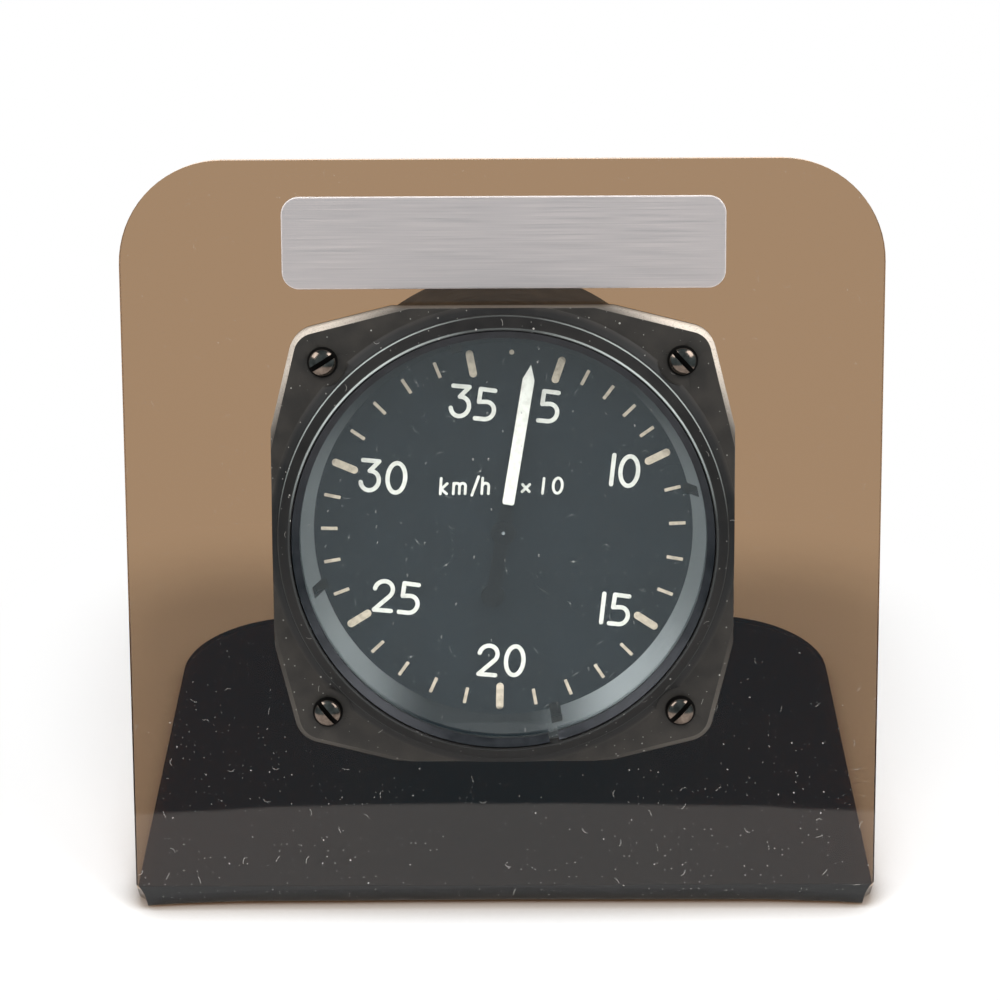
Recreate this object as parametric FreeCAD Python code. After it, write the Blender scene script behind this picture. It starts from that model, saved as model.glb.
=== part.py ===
import FreeCAD, Part
import math
import os

from FreeCAD import Placement, Rotation, Vector

os.makedirs("parts", exist_ok=True)

# Sizes are in mm. Row frame: X right, Y back, Z up, origin on the table under the stand.
# The instrument is drawn on its own axis: x right, y up the dial, z forward out of the dial,
# zero at the stand panel's front face.

# Stand: one bent sheet. The sharp corner of its fold would lie at y = fold_y.
panel_lean = 14.18
stand_width = 140.0
panel_corner_r = 19.0
base_length = 118.0
base_corner_r = 25.0
sheet_t = 3.0
fold_y = -60.0
fold_inner_r = 0.5
fold_outer_r = {0.0: 3.4, 50.0: 3.1, 62.0: 2.4, 70.0: 1.5}
fold_neck = 2.15
fold_neck_r = 5.0
panel_hole_gap = 0.7
flatness = 1e-5

# Case: can, flange and bezel ring, moulded in one
axis_v = 73.0
can_r = 39.5
can_depth = 91.0
can_wall = 2.5
front_wall = 1.75
rear_wall = 4.0
can_edge = 2.0
flange_lip = 3.0
flange_flat = 40.6
flange_slant = 14.0
flange_corner_r = 5.0
flange_t = 5.0
ear_bevel = 0.9
ring_step = 1.9
ring_rise = 2.2
ring_foot = 1.8
lip_inset = 2.1
lip_rise = 2.4
lip_land = 0.4
edge_break = 0.1
spot_face_r = 4.5

# Mounting screws, on a square around the can
screw_offset = 6.81
screw_r = 1.5
screw_gap = 0.1
screw_head_r = 2.8
screw_head_h = 2.1
screw_head_side = 0.5
screw_slot_w = 0.9
screw_slot_depth = 0.95
screw_spare = 1.0
slot_angles = (32.0, -47.0, -50.0, 47.0)
washer_r = 3.3
washer_t = 0.6
nut_across = 5.5
nut_t = 2.4

# Name plate on its adhesive pad
plate_w = 81.0
plate_h = 16.8
plate_t = 1.0
plate_x = 0.3
plate_gap = 3.05
plate_corner_r = 3.2
plate_bevel = 0.35
plate_margin = 6.65
pad_t = 0.2
pad_inset = 1.0

# Glass, gasket, retaining ring and cone ring
seat_fit = 0.2
glass_recess = 2.2
glass_t = 2.2
glass_edge = 0.2
gasket_t = 0.6
gasket_inset = 0.3
retainer_w = 1.57
retainer_side = 1.6
retainer_nose = 0.25
retainer_fit = 0.12
retainer_gap_w = 1.8
retainer_gap_angle = 76.0
cone_flange_t = 0.6
cone_inset = 0.03
sleeve_fit = 0.15
cone_slope = 2.0
cone_wall = 1.0
notch_w = 2.1
notch_h = 5.7
notch_reach = 0.9
notch_angles = (77.2, 164.3, 253.2, 346.0)

# Dial, its marks and figures
cone_depth = 7.7
dial_t = 0.8
dial_fit = 0.45
dial_hole_r = 1.6
paint_t = 0.06
major_angles = (18.96, 64.34, 123.15, 181.43, 238.27, 292.63, 349.54)
major_length = 5.1
major_w = 1.4
major_margin = 0.95
minor_length = 3.05
minor_w = 0.6
minor_margin = 1.33
minor_steps = 5
zero_angle = 2.92
zero_r = 0.45
zero_margin = 1.83
figure_h = 5.66
figure_w = 0.8
figure_slant = 4.0
unit_h = 2.9
unit_w = 0.5
unit_y = 8.4

# Pointer, turned pointer_rest degrees clockwise from the top at rest
pointer_rest = 9.45
pointer_gap = 2.35
pointer_t = 0.4
pointer_w = 2.4
pointer_root_w = 2.6
pointer_nose = 3.0
pointer_overlap = 1.17
tail_reach = 12.06
tail_disc_r = 2.2
hub_disc_r = 2.3
hub_cap_r = 2.2
hub_cap_t = 0.35
hub_skirt_r = 1.3
hub_skirt_t = 0.9
lume_from = 5.4
lume_edge = 0.1
lume_t = 0.12

# Movement frame: front plate on the case ledge, rear plate on pillars
ledge_w = 2.5
ledge_t = 2.3
ledge_screw_inset = 1.1
ledge_screw_angles = (95.0, 215.0, 335.0)
front_plate_t = 2.0
frame_gap = 16.9
rear_plate_t = 1.5
rear_plate_inset = 1.0
pillar_r = 1.8
pillar_inset = 3.5
pillar_angles = (75.0, 195.0, 300.0)
small_screw_r = 0.82
thread_gap = 0.03
small_head_r = 1.7
small_head_t = 1.0
small_slot_w = 0.4
small_slot_depth = 0.4
screw_grip = 3.0

# Pointer arbor, pinion and hairspring
arbor_r = 0.75
arbor_tip_r = 0.3
pivot_r = 0.5
pivot_gap = 0.06
end_shake = 0.2
collar_r = 1.3
collar_t = 0.4
pinion_teeth = 10
sector_teeth = 106
tooth_rise = 0.75
tooth_root = 1.15
tooth_foot_w = 0.62
tooth_tip_w = 0.24
pinion_tooth_w = 0.40
sector_tooth_w = 0.44
pinion_drop = 4.1
pinion_t = 3.0
spring_drop = 11.9
spring_h = 0.8
spring_w = 0.18
spring_turns = 4.0
spring_steps = 24
spring_gap = 0.06
spring_out = 7.0
spring_start = 135.0
collet_r = 1.6
collet_h = 2.0
stud_w = 1.6
stud_deep = 1.4

# Sector on its arbor, swinging sector_swing degrees, sector_back of it behind rest
sector_y = -9.0
sector_swing = 32.72
sector_back = 0.62
sector_t = 1.4
sector_rim = 3.1
sector_hub_r = 3.2
sector_arbor_r = 1.0
rim_overhang = 0.35
spoke_w = 1.8
spoke_inset = 4.0
spare_teeth = 1
weight_r = 2.4
weight_reach = 8.2
weight_overhang = 0.3
weight_turn = -17.0
tail_arm = 5.6
tail_spare = 1.6
tail_w = 1.0
tail_t = 1.0
tail_hub_r = 2.0
tail_drop = 8.3

# Rocking shaft, its two arms and the link down to the capsule
rocker_drop = 2.7
rocker_r = 1.0
rocker_hub_r = 2.0
lug_x = (-5.5, 19.5)
lug_t = 1.5
lug_w = 6.0
lug_below = 2.5
arm_t = 1.6
arm_w = 1.4
arm_eye_r = 1.2
drive_pin_r = 0.4
drive_gap = 0.16
drive_spare = 1.1
drive_window = 1.1
link_share = 0.41397
link_gap = 0.4
link_t = 0.8
link_w = 1.2
link_eye_r = 1.3
link_slack = 0.1
pin_spare = 0.6

# Capsule on its post and bridge, ahead of the rear wall
bridge_stand = 20.0
bridge_gap = 6.0
bridge_w = 14.0
bridge_t = 1.5
bridge_end = 4.0
capsule_stand = 10.0
capsule_gap = 3.2
capsule_rise = 3.0
capsule_wave = 0.35
wave_pitch = 4.65
capsule_steps = 48
capsule_skin = 0.25
capsule_rim = 0.35
capsule_seam = 0.05
boss_r = 4.4
boss_t = 0.7
stem_r = 1.2
post_r = 2.0
post_collar_r = 3.4
post_bore_r = 0.5
post_below = 5.5
post_nut_across = 7.0
post_nut_t = 2.0

# Pressure ports in the rear wall and the tube that joins one to the capsule
port_x = 15.0
port_boss_r = 7.5
port_boss_t = 1.0
port_stem_r = 3.9
port_gap = 0.1
seal_t = 1.0
port_hex = 12.0
port_hex_t = 3.0
port_nut_t = 3.0
nipple_r = 3.0
nipple_bore_r = 1.7
nipple_length = 12.0
spigot_r = 1.5
spigot_length = 3.0
tube_r = 0.8
tube_gap = 0.03
tube_bend = 4.0

# Values that follow from the sizes above
lean = math.radians(panel_lean)
flange_reach = can_r + flange_lip
hole_reach = (can_r + screw_offset) / math.sqrt(2)
hole_spots = [(sx * hole_reach, sy * hole_reach) for sx, sy in ((-1, 1), (1, 1), (-1, -1), (1, -1))]
plate_v = axis_v + flange_reach + plate_gap + plate_h / 2
panel_height = plate_v + plate_h / 2 + plate_margin
ring_r = can_r + ring_step
ring_z = flange_t + ring_rise
lip_r = ring_r - lip_inset
lip_z = ring_z + lip_rise
glass_bore_r = lip_r - lip_land
glass_front_z = lip_z - glass_recess
glass_back_z = glass_front_z - glass_t
gasket_z = glass_back_z - gasket_t
cone_top_z = gasket_z
glass_seat_z = cone_top_z - cone_flange_t
retainer_in_r = glass_bore_r - retainer_w
cone_top_r = retainer_in_r - cone_inset
cone_low_r = cone_top_r - cone_slope
case_bore_r = can_r - can_wall
front_bore_r = can_r - front_wall
ledge_in_r = case_bore_r - ledge_w
dial_face_z = cone_top_z - cone_depth
dial_r = front_bore_r - dial_fit
front_plate_z = dial_face_z - dial_t
ledge_z = front_plate_z - front_plate_t
inner_floor = -can_depth + rear_wall
rear_plate_z = ledge_z - frame_gap
rear_face = rear_plate_z - rear_plate_t
rear_plate_r = ledge_in_r - rear_plate_inset
small_hole_r = small_screw_r + thread_gap
ledge_screws = [(case_bore_r - ledge_screw_inset, a) for a in ledge_screw_angles]
pillar_spots = [(rear_plate_r - pillar_inset, a) for a in pillar_angles]
pointer_z = dial_face_z + pointer_gap
gear_reach = rear_plate_r + weight_overhang - weight_r - weight_reach
gear_module = 2 * gear_reach / (pinion_teeth + sector_teeth)
pinion_r = gear_module * pinion_teeth / 2
sector_r = gear_module * sector_teeth / 2
sector_x = math.sqrt((pinion_r + sector_r) ** 2 - sector_y ** 2)
mesh_angle = math.degrees(math.atan2(-sector_y, -sector_x))
sector_mid = sector_swing / 2 - sector_back
tail_z = ledge_z - tail_drop - tail_t / 2
rocker_z = rear_face - rocker_drop
rocker_y = sector_y + tail_w / 2 + drive_pin_r + drive_gap
half_throw = tail_arm * math.tan(math.radians(sector_swing / 2))
rocker_swing = 2 * math.degrees(math.atan(half_throw / (tail_z - rocker_z)))
rocker_rest = -sector_mid * rocker_swing / sector_swing
drive_x = sector_x - tail_arm
link_arm = -rocker_y
link_y = rocker_y + link_arm * math.cos(math.radians(rocker_rest))
link_z = rocker_z + link_arm * math.sin(math.radians(rocker_rest))
stem_pin_y = link_y / 2
bridge_half = case_bore_r - bridge_gap
long_pillar_x = bridge_half - bridge_end
capsule_r = long_pillar_x - pillar_r - capsule_gap
bridge_z = inner_floor + bridge_stand
capsule_z = bridge_z + capsule_stand
stem_pin_z = link_z - link_share * (link_z - capsule_z)
axis_place = Placement(Vector(0, axis_v * math.sin(lean) + fold_y, axis_v * math.cos(lean)),
                       Rotation(Vector(1, 0, 0), 90 - panel_lean))
panel_place = Placement(Vector(0, fold_y, 0), Rotation(Vector(1, 0, 0), 90 - panel_lean))
far = 200.0


def save(name, shape):
    shape.exportStep("parts/" + name + ".step")


def placed(shape, placement):
    moved = shape.copy()
    moved.Placement = placement.multiply(moved.Placement)
    return moved


def on_axis(shape):
    return placed(shape, axis_place)


def on_panel(shape):
    return placed(shape, panel_place)


def polar(r, angle, x=0.0, y=0.0):
    a = math.radians(angle)
    return x + r * math.cos(a), y + r * math.sin(a)


def cyl(r, z0, z1, x=0.0, y=0.0):
    return Part.makeCylinder(r, abs(z1 - z0), Vector(x, y, min(z0, z1)))


def drill(r, x=0.0, y=0.0):
    return cyl(r, -far, far, x, y)


def x_cyl(r, x0, x1, y, z):
    return Part.makeCylinder(r, x1 - x0, Vector(x0, y, z), Vector(1, 0, 0))


def ring(r_in, r_out, z0, z1, x=0.0, y=0.0):
    return cyl(r_out, z0, z1, x, y).cut(drill(r_in, x, y))


def block(x0, x1, y0, y1, z0, z1):
    return Part.makeBox(x1 - x0, y1 - y0, abs(z1 - z0), Vector(x0, y0, min(z0, z1)))


def prism(points, z0, z1):
    wire = Part.makePolygon([Vector(x, y, z0) for x, y in points + points[:1]])
    return Part.Face(wire).extrude(Vector(0, 0, z1 - z0))


def lathe(points):
    wire = Part.makePolygon([Vector(r, 0, z) for r, z in points + points[:1]])
    return Part.Face(wire).revolve(Vector(0, 0, 0), Vector(0, 0, 1), 360)


def turned(shape, angle):
    done = shape.copy()
    done.rotate(Vector(0, 0, 0), Vector(0, 0, 1), angle)
    return done


def clockwise(shape, angle):
    return turned(shape, -angle)


def moved(shape, x, y, z=0.0):
    done = shape.copy()
    done.translate(Vector(x, y, z))
    return done


def hexagon(across, z0, z1, x=0.0, y=0.0):
    return prism([polar(across / math.sqrt(3), 60 * k, x, y) for k in range(6)], z0, z1)


def fused(shapes):
    return shapes[0].multiFuse(shapes[1:]).removeSplitter()


def drilled(shape, r, spots):
    for x, y in spots:
        shape = shape.cut(drill(r, x, y))
    return shape


def group(shapes):
    return Part.makeCompound(shapes)


# Display stand: sheet profile in the YZ plane, its fold sharper towards both ends
half_turn = math.tan(math.radians((90 + panel_lean) / 2))
bisector = math.radians((90 - panel_lean) / 2)


def sheet_profile(x, fold_r):
    def slope(v, depth):
        return Vector(x, v * math.sin(lean) + depth * math.cos(lean),
                      v * math.cos(lean) - depth * math.sin(lean))

    def fold_arc(r, depth):
        c = Vector(x, half_turn * (depth + r), depth + r)
        away = Vector(0, math.cos(bisector), math.sin(bisector))
        panel_normal = Vector(0, math.cos(lean), -math.sin(lean))
        return c - panel_normal * r, c - away * r, c - Vector(0, 0, r)

    a0, a1, a2 = fold_arc(fold_r, 0.0)
    b0, b1, b2 = fold_arc(fold_inner_r, sheet_t)
    edges = [Part.makeLine(slope(panel_height, 0), a0),
             Part.Arc(a0, a1, a2).toShape(),
             Part.makeLine(a2, Vector(x, base_length, 0)),
             Part.makeLine(Vector(x, base_length, 0), Vector(x, base_length, sheet_t)),
             Part.makeLine(Vector(x, base_length, sheet_t), b2),
             Part.Arc(b2, b1, b0).toShape(),
             Part.makeLine(b0, slope(panel_height, sheet_t)),
             Part.makeLine(slope(panel_height, sheet_t), slope(panel_height, 0))]
    return Part.Wire(edges)


# A loft's flat sides, rebuilt as true planes
def with_planes(solid):
    faces = []
    for face in solid.Faces:
        if face.Surface.isPlanar(flatness):
            edges = [e.Curve.toShape(e.FirstParameter, e.LastParameter)
                     for e in face.OuterWire.OrderedEdges]
            face = Part.Face(Part.Wire(edges))
        faces.append(face)
    shell = Part.makeShell(faces)
    shell.sewShape(flatness)
    return Part.makeSolid(shell)


def corner_waste(x, y, r, side):
    far_x = x + side * 2 * r
    square = block(min(x, far_x), max(x, far_x), y, y + 2 * r, -2 * sheet_t, 2 * sheet_t)
    return square.cut(drill(r, x, y))


widest = max(fold_outer_r)
stations = sorted({side * x for x in fold_outer_r for side in (-1, 1)})
spans = []
for x0, x1 in zip(stations[:-1], stations[1:]):
    profiles = [sheet_profile(x * stand_width / 2 / widest, fold_outer_r[abs(x)])
                for x in (x0, x1)]
    spans.append(with_planes(Part.makeLoft(profiles, True, True)))
stand = moved(fused(spans), 0, fold_y)
for side in (-1, 1):
    corner_x = side * (stand_width / 2 - base_corner_r)
    corner_y = fold_y + base_length - base_corner_r
    stand = stand.cut(corner_waste(corner_x, corner_y, base_corner_r, side))
    corner_x = side * (stand_width / 2 - panel_corner_r)
    corner_v = panel_height - panel_corner_r
    stand = stand.cut(on_panel(corner_waste(corner_x, corner_v, panel_corner_r, side)))
    neck_x = side * (stand_width / 2 - fold_neck + fold_neck_r)
    across_fold = Vector(0, -math.sin(bisector), math.cos(bisector))
    neck_start = Vector(neck_x, fold_y, 0) - across_fold * 2 * fold_neck_r
    stand = stand.cut(Part.makeCylinder(fold_neck_r, 4 * fold_neck_r, neck_start, across_fold))
stand = stand.cut(on_axis(cyl(can_r + panel_hole_gap, -2 * sheet_t, sheet_t)))
for x, y in hole_spots:
    stand = stand.cut(on_axis(cyl(screw_r + 2 * screw_gap, -2 * sheet_t, sheet_t, x, y)))
save("display_stand", stand)

# Name plate: bare brushed plate with a small bevel, on a thin adhesive pad
plate = block(plate_x - plate_w / 2, plate_x + plate_w / 2,
              plate_v - plate_h / 2, plate_v + plate_h / 2, pad_t, pad_t + plate_t)
plate = plate.makeFillet(plate_corner_r, [e for e in plate.Edges
                                          if abs(e.tangentAt(e.FirstParameter).z) > 0.9])
plate = plate.makeChamfer(plate_bevel, [e for e in plate.Edges
                                        if e.BoundBox.ZMin > pad_t + plate_t / 2])
save("nameplate", on_panel(plate))
pad = block(plate_x - plate_w / 2 + pad_inset, plate_x + plate_w / 2 - pad_inset,
            plate_v - plate_h / 2 + pad_inset, plate_v + plate_h / 2 - pad_inset, 0, pad_t)
save("nameplate_pad", on_panel(pad))

# Case: twelve-sided flange with bevelled ears, raised bezel ring, can and rear bosses
slant = math.tan(math.radians(flange_slant))
flat = flange_flat / 2
ear = (flange_reach + flat * slant) / (1 + slant)
outline = []
for k in range(4):
    turn = -90 * k
    for x, y in ((flat, flange_reach), (ear, ear), (flange_reach, flat)):
        outline.append(polar(math.hypot(x, y), math.degrees(math.atan2(y, x)) + turn))
flange = prism(outline, 0, flange_t)
ears = [e for e in flange.Edges if abs(e.tangentAt(e.FirstParameter).z) > 0.9
        and e.CenterOfMass.x ** 2 + e.CenterOfMass.y ** 2 > 1.9 * ear ** 2]
flange = flange.makeFillet(flange_corner_r, ears)


def on_ear(e):
    c = e.CenterOfMass
    return c.z > flange_t - 0.01 and max(abs(c.x), abs(c.y)) < flange_reach - 0.01


flange = flange.makeChamfer(ear_bevel, [e for e in flange.Edges if on_ear(e)])
sunk_z = flange_t - ring_rise
bezel = lathe([(ledge_in_r, sunk_z), (ring_r + ring_foot, sunk_z), (ring_r + ring_foot, flange_t),
               (ring_r + edge_break, flange_t + ring_rise * 0.6), (ring_r, ring_z - edge_break),
               (ring_r - edge_break, ring_z), (lip_r, lip_z - edge_break),
               (lip_r - edge_break, lip_z), (ledge_in_r, lip_z)])
bezel = bezel.common(prism(outline, 0, lip_z + 1))
for x, y in hole_spots:
    bezel = bezel.cut(cyl(spot_face_r, flange_t, lip_z + 1, x, y))
can = lathe([(0, -can_depth), (can_r - can_edge, -can_depth), (can_r, -can_depth + can_edge),
             (can_r, sunk_z), (0, sunk_z)])
ports = ((-port_x, 0.0), (port_x, 0.0))
bosses = [cyl(port_boss_r, -can_depth - port_boss_t, inner_floor, x, y) for x, y in ports]
case = fused([flange, bezel, can] + bosses)
case = case.cut(lathe([(0, inner_floor), (case_bore_r, inner_floor),
                       (case_bore_r, ledge_z - ledge_t), (ledge_in_r, ledge_z - ledge_t),
                       (ledge_in_r, ledge_z), (front_bore_r, ledge_z),
                       (front_bore_r, glass_seat_z), (glass_bore_r, glass_seat_z),
                       (glass_bore_r, lip_z + 1), (0, lip_z + 1)]))
for x, y in hole_spots:
    case = case.cut(cyl(screw_r + screw_gap, -sheet_t, lip_z, x, y))
for x, y in ports:
    case = case.cut(cyl(port_stem_r + port_gap, -far, inner_floor + 1, x, y))
for spot in ledge_screws:
    case = case.cut(cyl(small_hole_r, ledge_z - ledge_t, ledge_z + 1, *polar(*spot)))
save("case_body", on_axis(case))

# Glass on a rubber gasket, held by a split black ring with a sloped face
seat_r = glass_bore_r - seat_fit
glass = cyl(seat_r, glass_back_z, glass_front_z)
rims = [e for e in glass.Edges if e.Curve.TypeId == "Part::GeomCircle"]
save("cover_glass", on_axis(glass.makeChamfer(glass_edge, rims)))
gasket = ring(retainer_in_r + gasket_inset, seat_r, gasket_z, glass_back_z)
save("glass_gasket", on_axis(gasket))
split_r = glass_bore_r - retainer_fit
side_z = glass_front_z + retainer_side - edge_break
retainer = lathe([(retainer_in_r, glass_front_z), (split_r, glass_front_z), (split_r, side_z),
                  (split_r - edge_break, side_z + edge_break),
                  (retainer_in_r, glass_front_z + retainer_nose)])
gap = block(0, 2 * ring_r, -retainer_gap_w / 2, retainer_gap_w / 2, glass_back_z, lip_z)
retainer = retainer.cut(clockwise(gap, retainer_gap_angle))
save("glass_retainer", on_axis(retainer))

# Cone ring: satin sleeve between glass and dial, with four notches at its dial end
sleeve_r = front_bore_r - sleeve_fit
cone = lathe([(cone_low_r, dial_face_z), (cone_low_r + cone_wall, dial_face_z),
              (sleeve_r, glass_seat_z - cone_flange_t), (sleeve_r, glass_seat_z),
              (seat_r, glass_seat_z), (seat_r, cone_top_z), (cone_top_r, cone_top_z)])
notch = block(-notch_w / 2, notch_w / 2, cone_low_r - notch_reach, cone_top_r,
              front_plate_z - dial_t, dial_face_z + notch_h)
notches = [clockwise(notch, angle) for angle in notch_angles]
save("cone_ring", on_axis(cone.cut(notches)))

# Dial: thin disc with locating slots under the notches
dial = ring(dial_hole_r, dial_r, front_plate_z, dial_face_z).cut(notches)
save("dial", on_axis(dial))

# Scale marks: thin paint on the dial, long marks with round ends and short square ones
paint_z = dial_face_z + paint_t


def bar(length, width, r):
    return block(-width / 2, width / 2, r - length / 2, r + length / 2, dial_face_z, paint_z)


def pill(length, width, r):
    run = (length - width) / 2
    ends = [cyl(width / 2, dial_face_z, paint_z, 0, r + s * run) for s in (-1, 1)]
    return fused([bar(length - width, width, r)] + ends)


major_r = cone_low_r - major_margin - major_length / 2
minor_r = cone_low_r - minor_margin - minor_length / 2
marks = [clockwise(pill(major_length, major_w, major_r), a) for a in major_angles]
for a0, a1 in zip(major_angles[:-1], major_angles[1:]):
    for k in range(1, minor_steps):
        angle = a0 + (a1 - a0) * k / minor_steps
        marks.append(clockwise(bar(minor_length, minor_w, minor_r), angle))
zero_mark = cyl(zero_r, dial_face_z, paint_z, 0, cone_low_r - zero_margin)
marks.append(clockwise(zero_mark, zero_angle))
save("scale_marks", on_axis(group(marks)))


# Figures: strokes with round ends, drawn in units of their height
def arc(cx, cy, rx, ry, a0, a1, steps=14):
    points = []
    for k in range(steps + 1):
        a = math.radians(a0 + (a1 - a0) * k / steps)
        points.append((cx + rx * math.cos(a), cy + ry * math.sin(a)))
    return points


glyphs = {
    "0": [arc(0.29, 0.5, 0.29, 0.49, 90, 450, 40)],
    "1": [[(0.035, 0.0), (0.075, 0.965)]],
    "2": [arc(0.33, 0.665, 0.3, 0.295, 170, -40) + [(0.035, 0.0), (0.6, -0.05)]],
    "3": [[(0.05, 1.01), (0.58, 0.96), (0.285, 0.646)] + arc(0.305, 0.323, 0.3, 0.323, 88, -172)],
    "5": [[(0.64, 0.936), (0.168, 1.0), (0.132, 0.575)] + arc(0.36, 0.288, 0.28, 0.288, 92, -92)
          + [(0.033, 0.035)]],
    "k": [[(0.0, 0.0), (0.0, 1.0)], [(0.4, 0.66), (0.04, 0.3), (0.4, 0.0)]],
    "m": [[(0.0, 0.0), (0.0, 0.68)], arc(0.19, 0.48, 0.19, 0.2, 150, 0) + [(0.38, 0.0)],
          arc(0.57, 0.48, 0.19, 0.2, 150, 0) + [(0.76, 0.0)]],
    "/": [[(0.0, -0.1), (0.36, 1.1)]],
    "h": [[(0.0, 0.0), (0.0, 1.0)], arc(0.21, 0.45, 0.21, 0.23, 150, 0) + [(0.42, 0.0)]],
    "x": [[(0.0, 0.12), (0.46, 0.58)], [(0.0, 0.58), (0.46, 0.12)]],
}
# A turn sharper than this, in radians, starts a new stroke
sharp_turn = 0.45


def stroke(points, width):
    closed = math.dist(points[0], points[-1]) < 1e-6
    left, right = [], []
    last = len(points) - 1
    for i, (x, y) in enumerate(points):
        behind = points[i - 1] if i else points[-2] if closed else points[0]
        ahead = points[i + 1] if i < last else points[1] if closed else points[-1]
        tx, ty = ahead[0] - behind[0], ahead[1] - behind[1]
        w = width / 2 / math.hypot(tx, ty)
        left.append((x - ty * w, y + tx * w))
        right.append((x + ty * w, y - tx * w))
    if closed:
        shells = [prism(side[:-1], dial_face_z, paint_z) for side in (left, right)]
        shells.sort(key=lambda shell: shell.Volume)
        return shells[1].cut(shells[0])
    ends = [cyl(width / 2, dial_face_z, paint_z, *points[i]) for i in (0, -1)]
    return fused([prism(left + right[::-1], dial_face_z, paint_z)] + ends)


def split_at_corners(points):
    pieces, start = [], 0
    for i in range(1, len(points) - 1):
        (x0, y0), (x1, y1), (x2, y2) = points[i - 1:i + 2]
        bend = math.atan2(y2 - y1, x2 - x1) - math.atan2(y1 - y0, x1 - x0)
        if abs(math.remainder(bend, math.tau)) > sharp_turn:
            pieces.append(points[start:i + 1])
            start = i
    return pieces + [points[start:]]


def character(name, x, y, height, width):
    tilt = math.tan(math.radians(figure_slant))
    shapes = []
    for path in glyphs[name]:
        points = [(x + (px + (py - 0.5) * tilt) * height, y + (py - 0.5) * height)
                  for px, py in path]
        shapes += [stroke(piece, width) for piece in split_at_corners(points)]
    return fused(shapes)


# Each figure's middle left point: its angle clockwise from the top, and its distance inside
# the cone's edge
figures = (("3", 338.51, 9.12), ("5", 347.73, 10.97), ("5", 15.64, 11.07), ("1", 60.23, 12.20),
           ("0", 63.06, 10.85), ("1", 129.11, 11.79), ("5", 127.64, 10.40), ("2", 191.06, 10.16),
           ("0", 179.11, 10.30), ("2", 243.36, 8.07), ("5", 236.82, 11.80), ("3", 291.66, 6.85),
           ("0", 294.95, 11.62))
spots = [(c, *polar(cone_low_r - inset, 90 - angle)) for c, angle, inset in figures]
save("numerals", on_axis(group([character(c, x, y, figure_h, figure_w) for c, x, y in spots])))
# The unit's letters, with the middle left point of each in letter heights
unit = (("k", -4.0), ("m", -3.17), ("/", -1.97), ("h", -1.34), ("x", 1.24), ("1", 2.52), ("0", 3.21))
letters = [character(c, step * unit_h, unit_y, unit_h, unit_w) for c, step in unit]
save("unit_legend", on_axis(group(letters)))

# Pointer: flat black blade with a round counterweight, white paint on its forward part
pointer_tip = minor_r - minor_length / 2 + pointer_overlap
shoulder = pointer_tip - pointer_nose
pointer_top = pointer_z + pointer_t
half = pointer_w / 2
root = pointer_root_w / 2
blade = prism([(-root, -tail_reach), (-root, 0), (-half, lume_from), (-half, shoulder),
               (0, pointer_tip), (half, shoulder), (half, lume_from), (root, 0),
               (root, -tail_reach)], pointer_z, pointer_top)
blade = fused([blade, cyl(tail_disc_r, pointer_z, pointer_top, 0, -tail_reach),
               cyl(hub_disc_r, pointer_z, pointer_top)]).cut(drill(arbor_r))
save("pointer", on_axis(clockwise(blade, pointer_rest)))
inner = half - lume_edge
paint = prism([(-inner, lume_from + 3 * lume_edge), (-inner + 3 * lume_edge, lume_from),
               (inner - 3 * lume_edge, lume_from), (inner, lume_from + 3 * lume_edge),
               (inner, shoulder), (0, pointer_tip - 2 * lume_edge), (-inner, shoulder)],
              pointer_top, pointer_top + lume_t)
save("pointer_paint", on_axis(clockwise(paint, pointer_rest)))
hub = [ring(arbor_tip_r, hub_cap_r, pointer_top, pointer_top + hub_cap_t),
       ring(arbor_r, hub_skirt_r, pointer_z - hub_skirt_t, pointer_z)]
save("pointer_hub", on_axis(group(hub)))

# Pointer arbor with its pinion, collet and hairspring
pivot_end = rear_face + end_shake / 2
shoulder_z = rear_plate_z + end_shake
collar_z = ledge_z - end_shake
arbor = fused([cyl(arbor_r, shoulder_z, pointer_top),
               cyl(arbor_tip_r, pointer_top, pointer_top + hub_cap_t + edge_break),
               cyl(pivot_r, pivot_end, shoulder_z), cyl(collar_r, collar_z - collar_t, collar_z)])
save("pointer_arbor", on_axis(arbor))


def tooth(pitch_r, teeth, angle, share):
    pitch = 360.0 / teeth
    flank = ((pitch_r - tooth_root * gear_module, tooth_foot_w), (pitch_r, 0.5),
             (pitch_r + tooth_rise * gear_module, tooth_tip_w))
    rise = [polar(r, angle - pitch * share * part) for r, part in flank]
    fall = [polar(r, angle + pitch * share * part) for r, part in flank]
    return rise + fall[::-1]


pinion_z = ledge_z - pinion_drop
pinion_points = []
for k in range(pinion_teeth):
    angle = mesh_angle + 180 + 360.0 / pinion_teeth * (k + 0.5)
    pinion_points += tooth(pinion_r, pinion_teeth, angle, pinion_tooth_w)
pinion = prism(pinion_points, pinion_z - pinion_t, pinion_z).cut(drill(arbor_r))
save("pinion", on_axis(pinion))
spring_z = ledge_z - spring_drop
collet_mid = spring_z + spring_h / 2
collet = ring(arbor_r, collet_r, collet_mid - collet_h / 2, collet_mid + collet_h / 2)
save("hairspring_collet", on_axis(collet))


def spiral(offset):
    start_r = collet_r + spring_gap + spring_w / 2
    steps = int(spring_turns * spring_steps)
    points = []
    for k in range(steps + 1):
        r = start_r + (spring_out - start_r) * k / steps + offset
        x, y = polar(r, spring_start + 360 * spring_turns * k / steps)
        points.append(Vector(x, y, spring_z))
    curve = Part.BSplineCurve()
    curve.interpolate(points)
    return curve.toShape(), points[0], points[-1]


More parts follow.
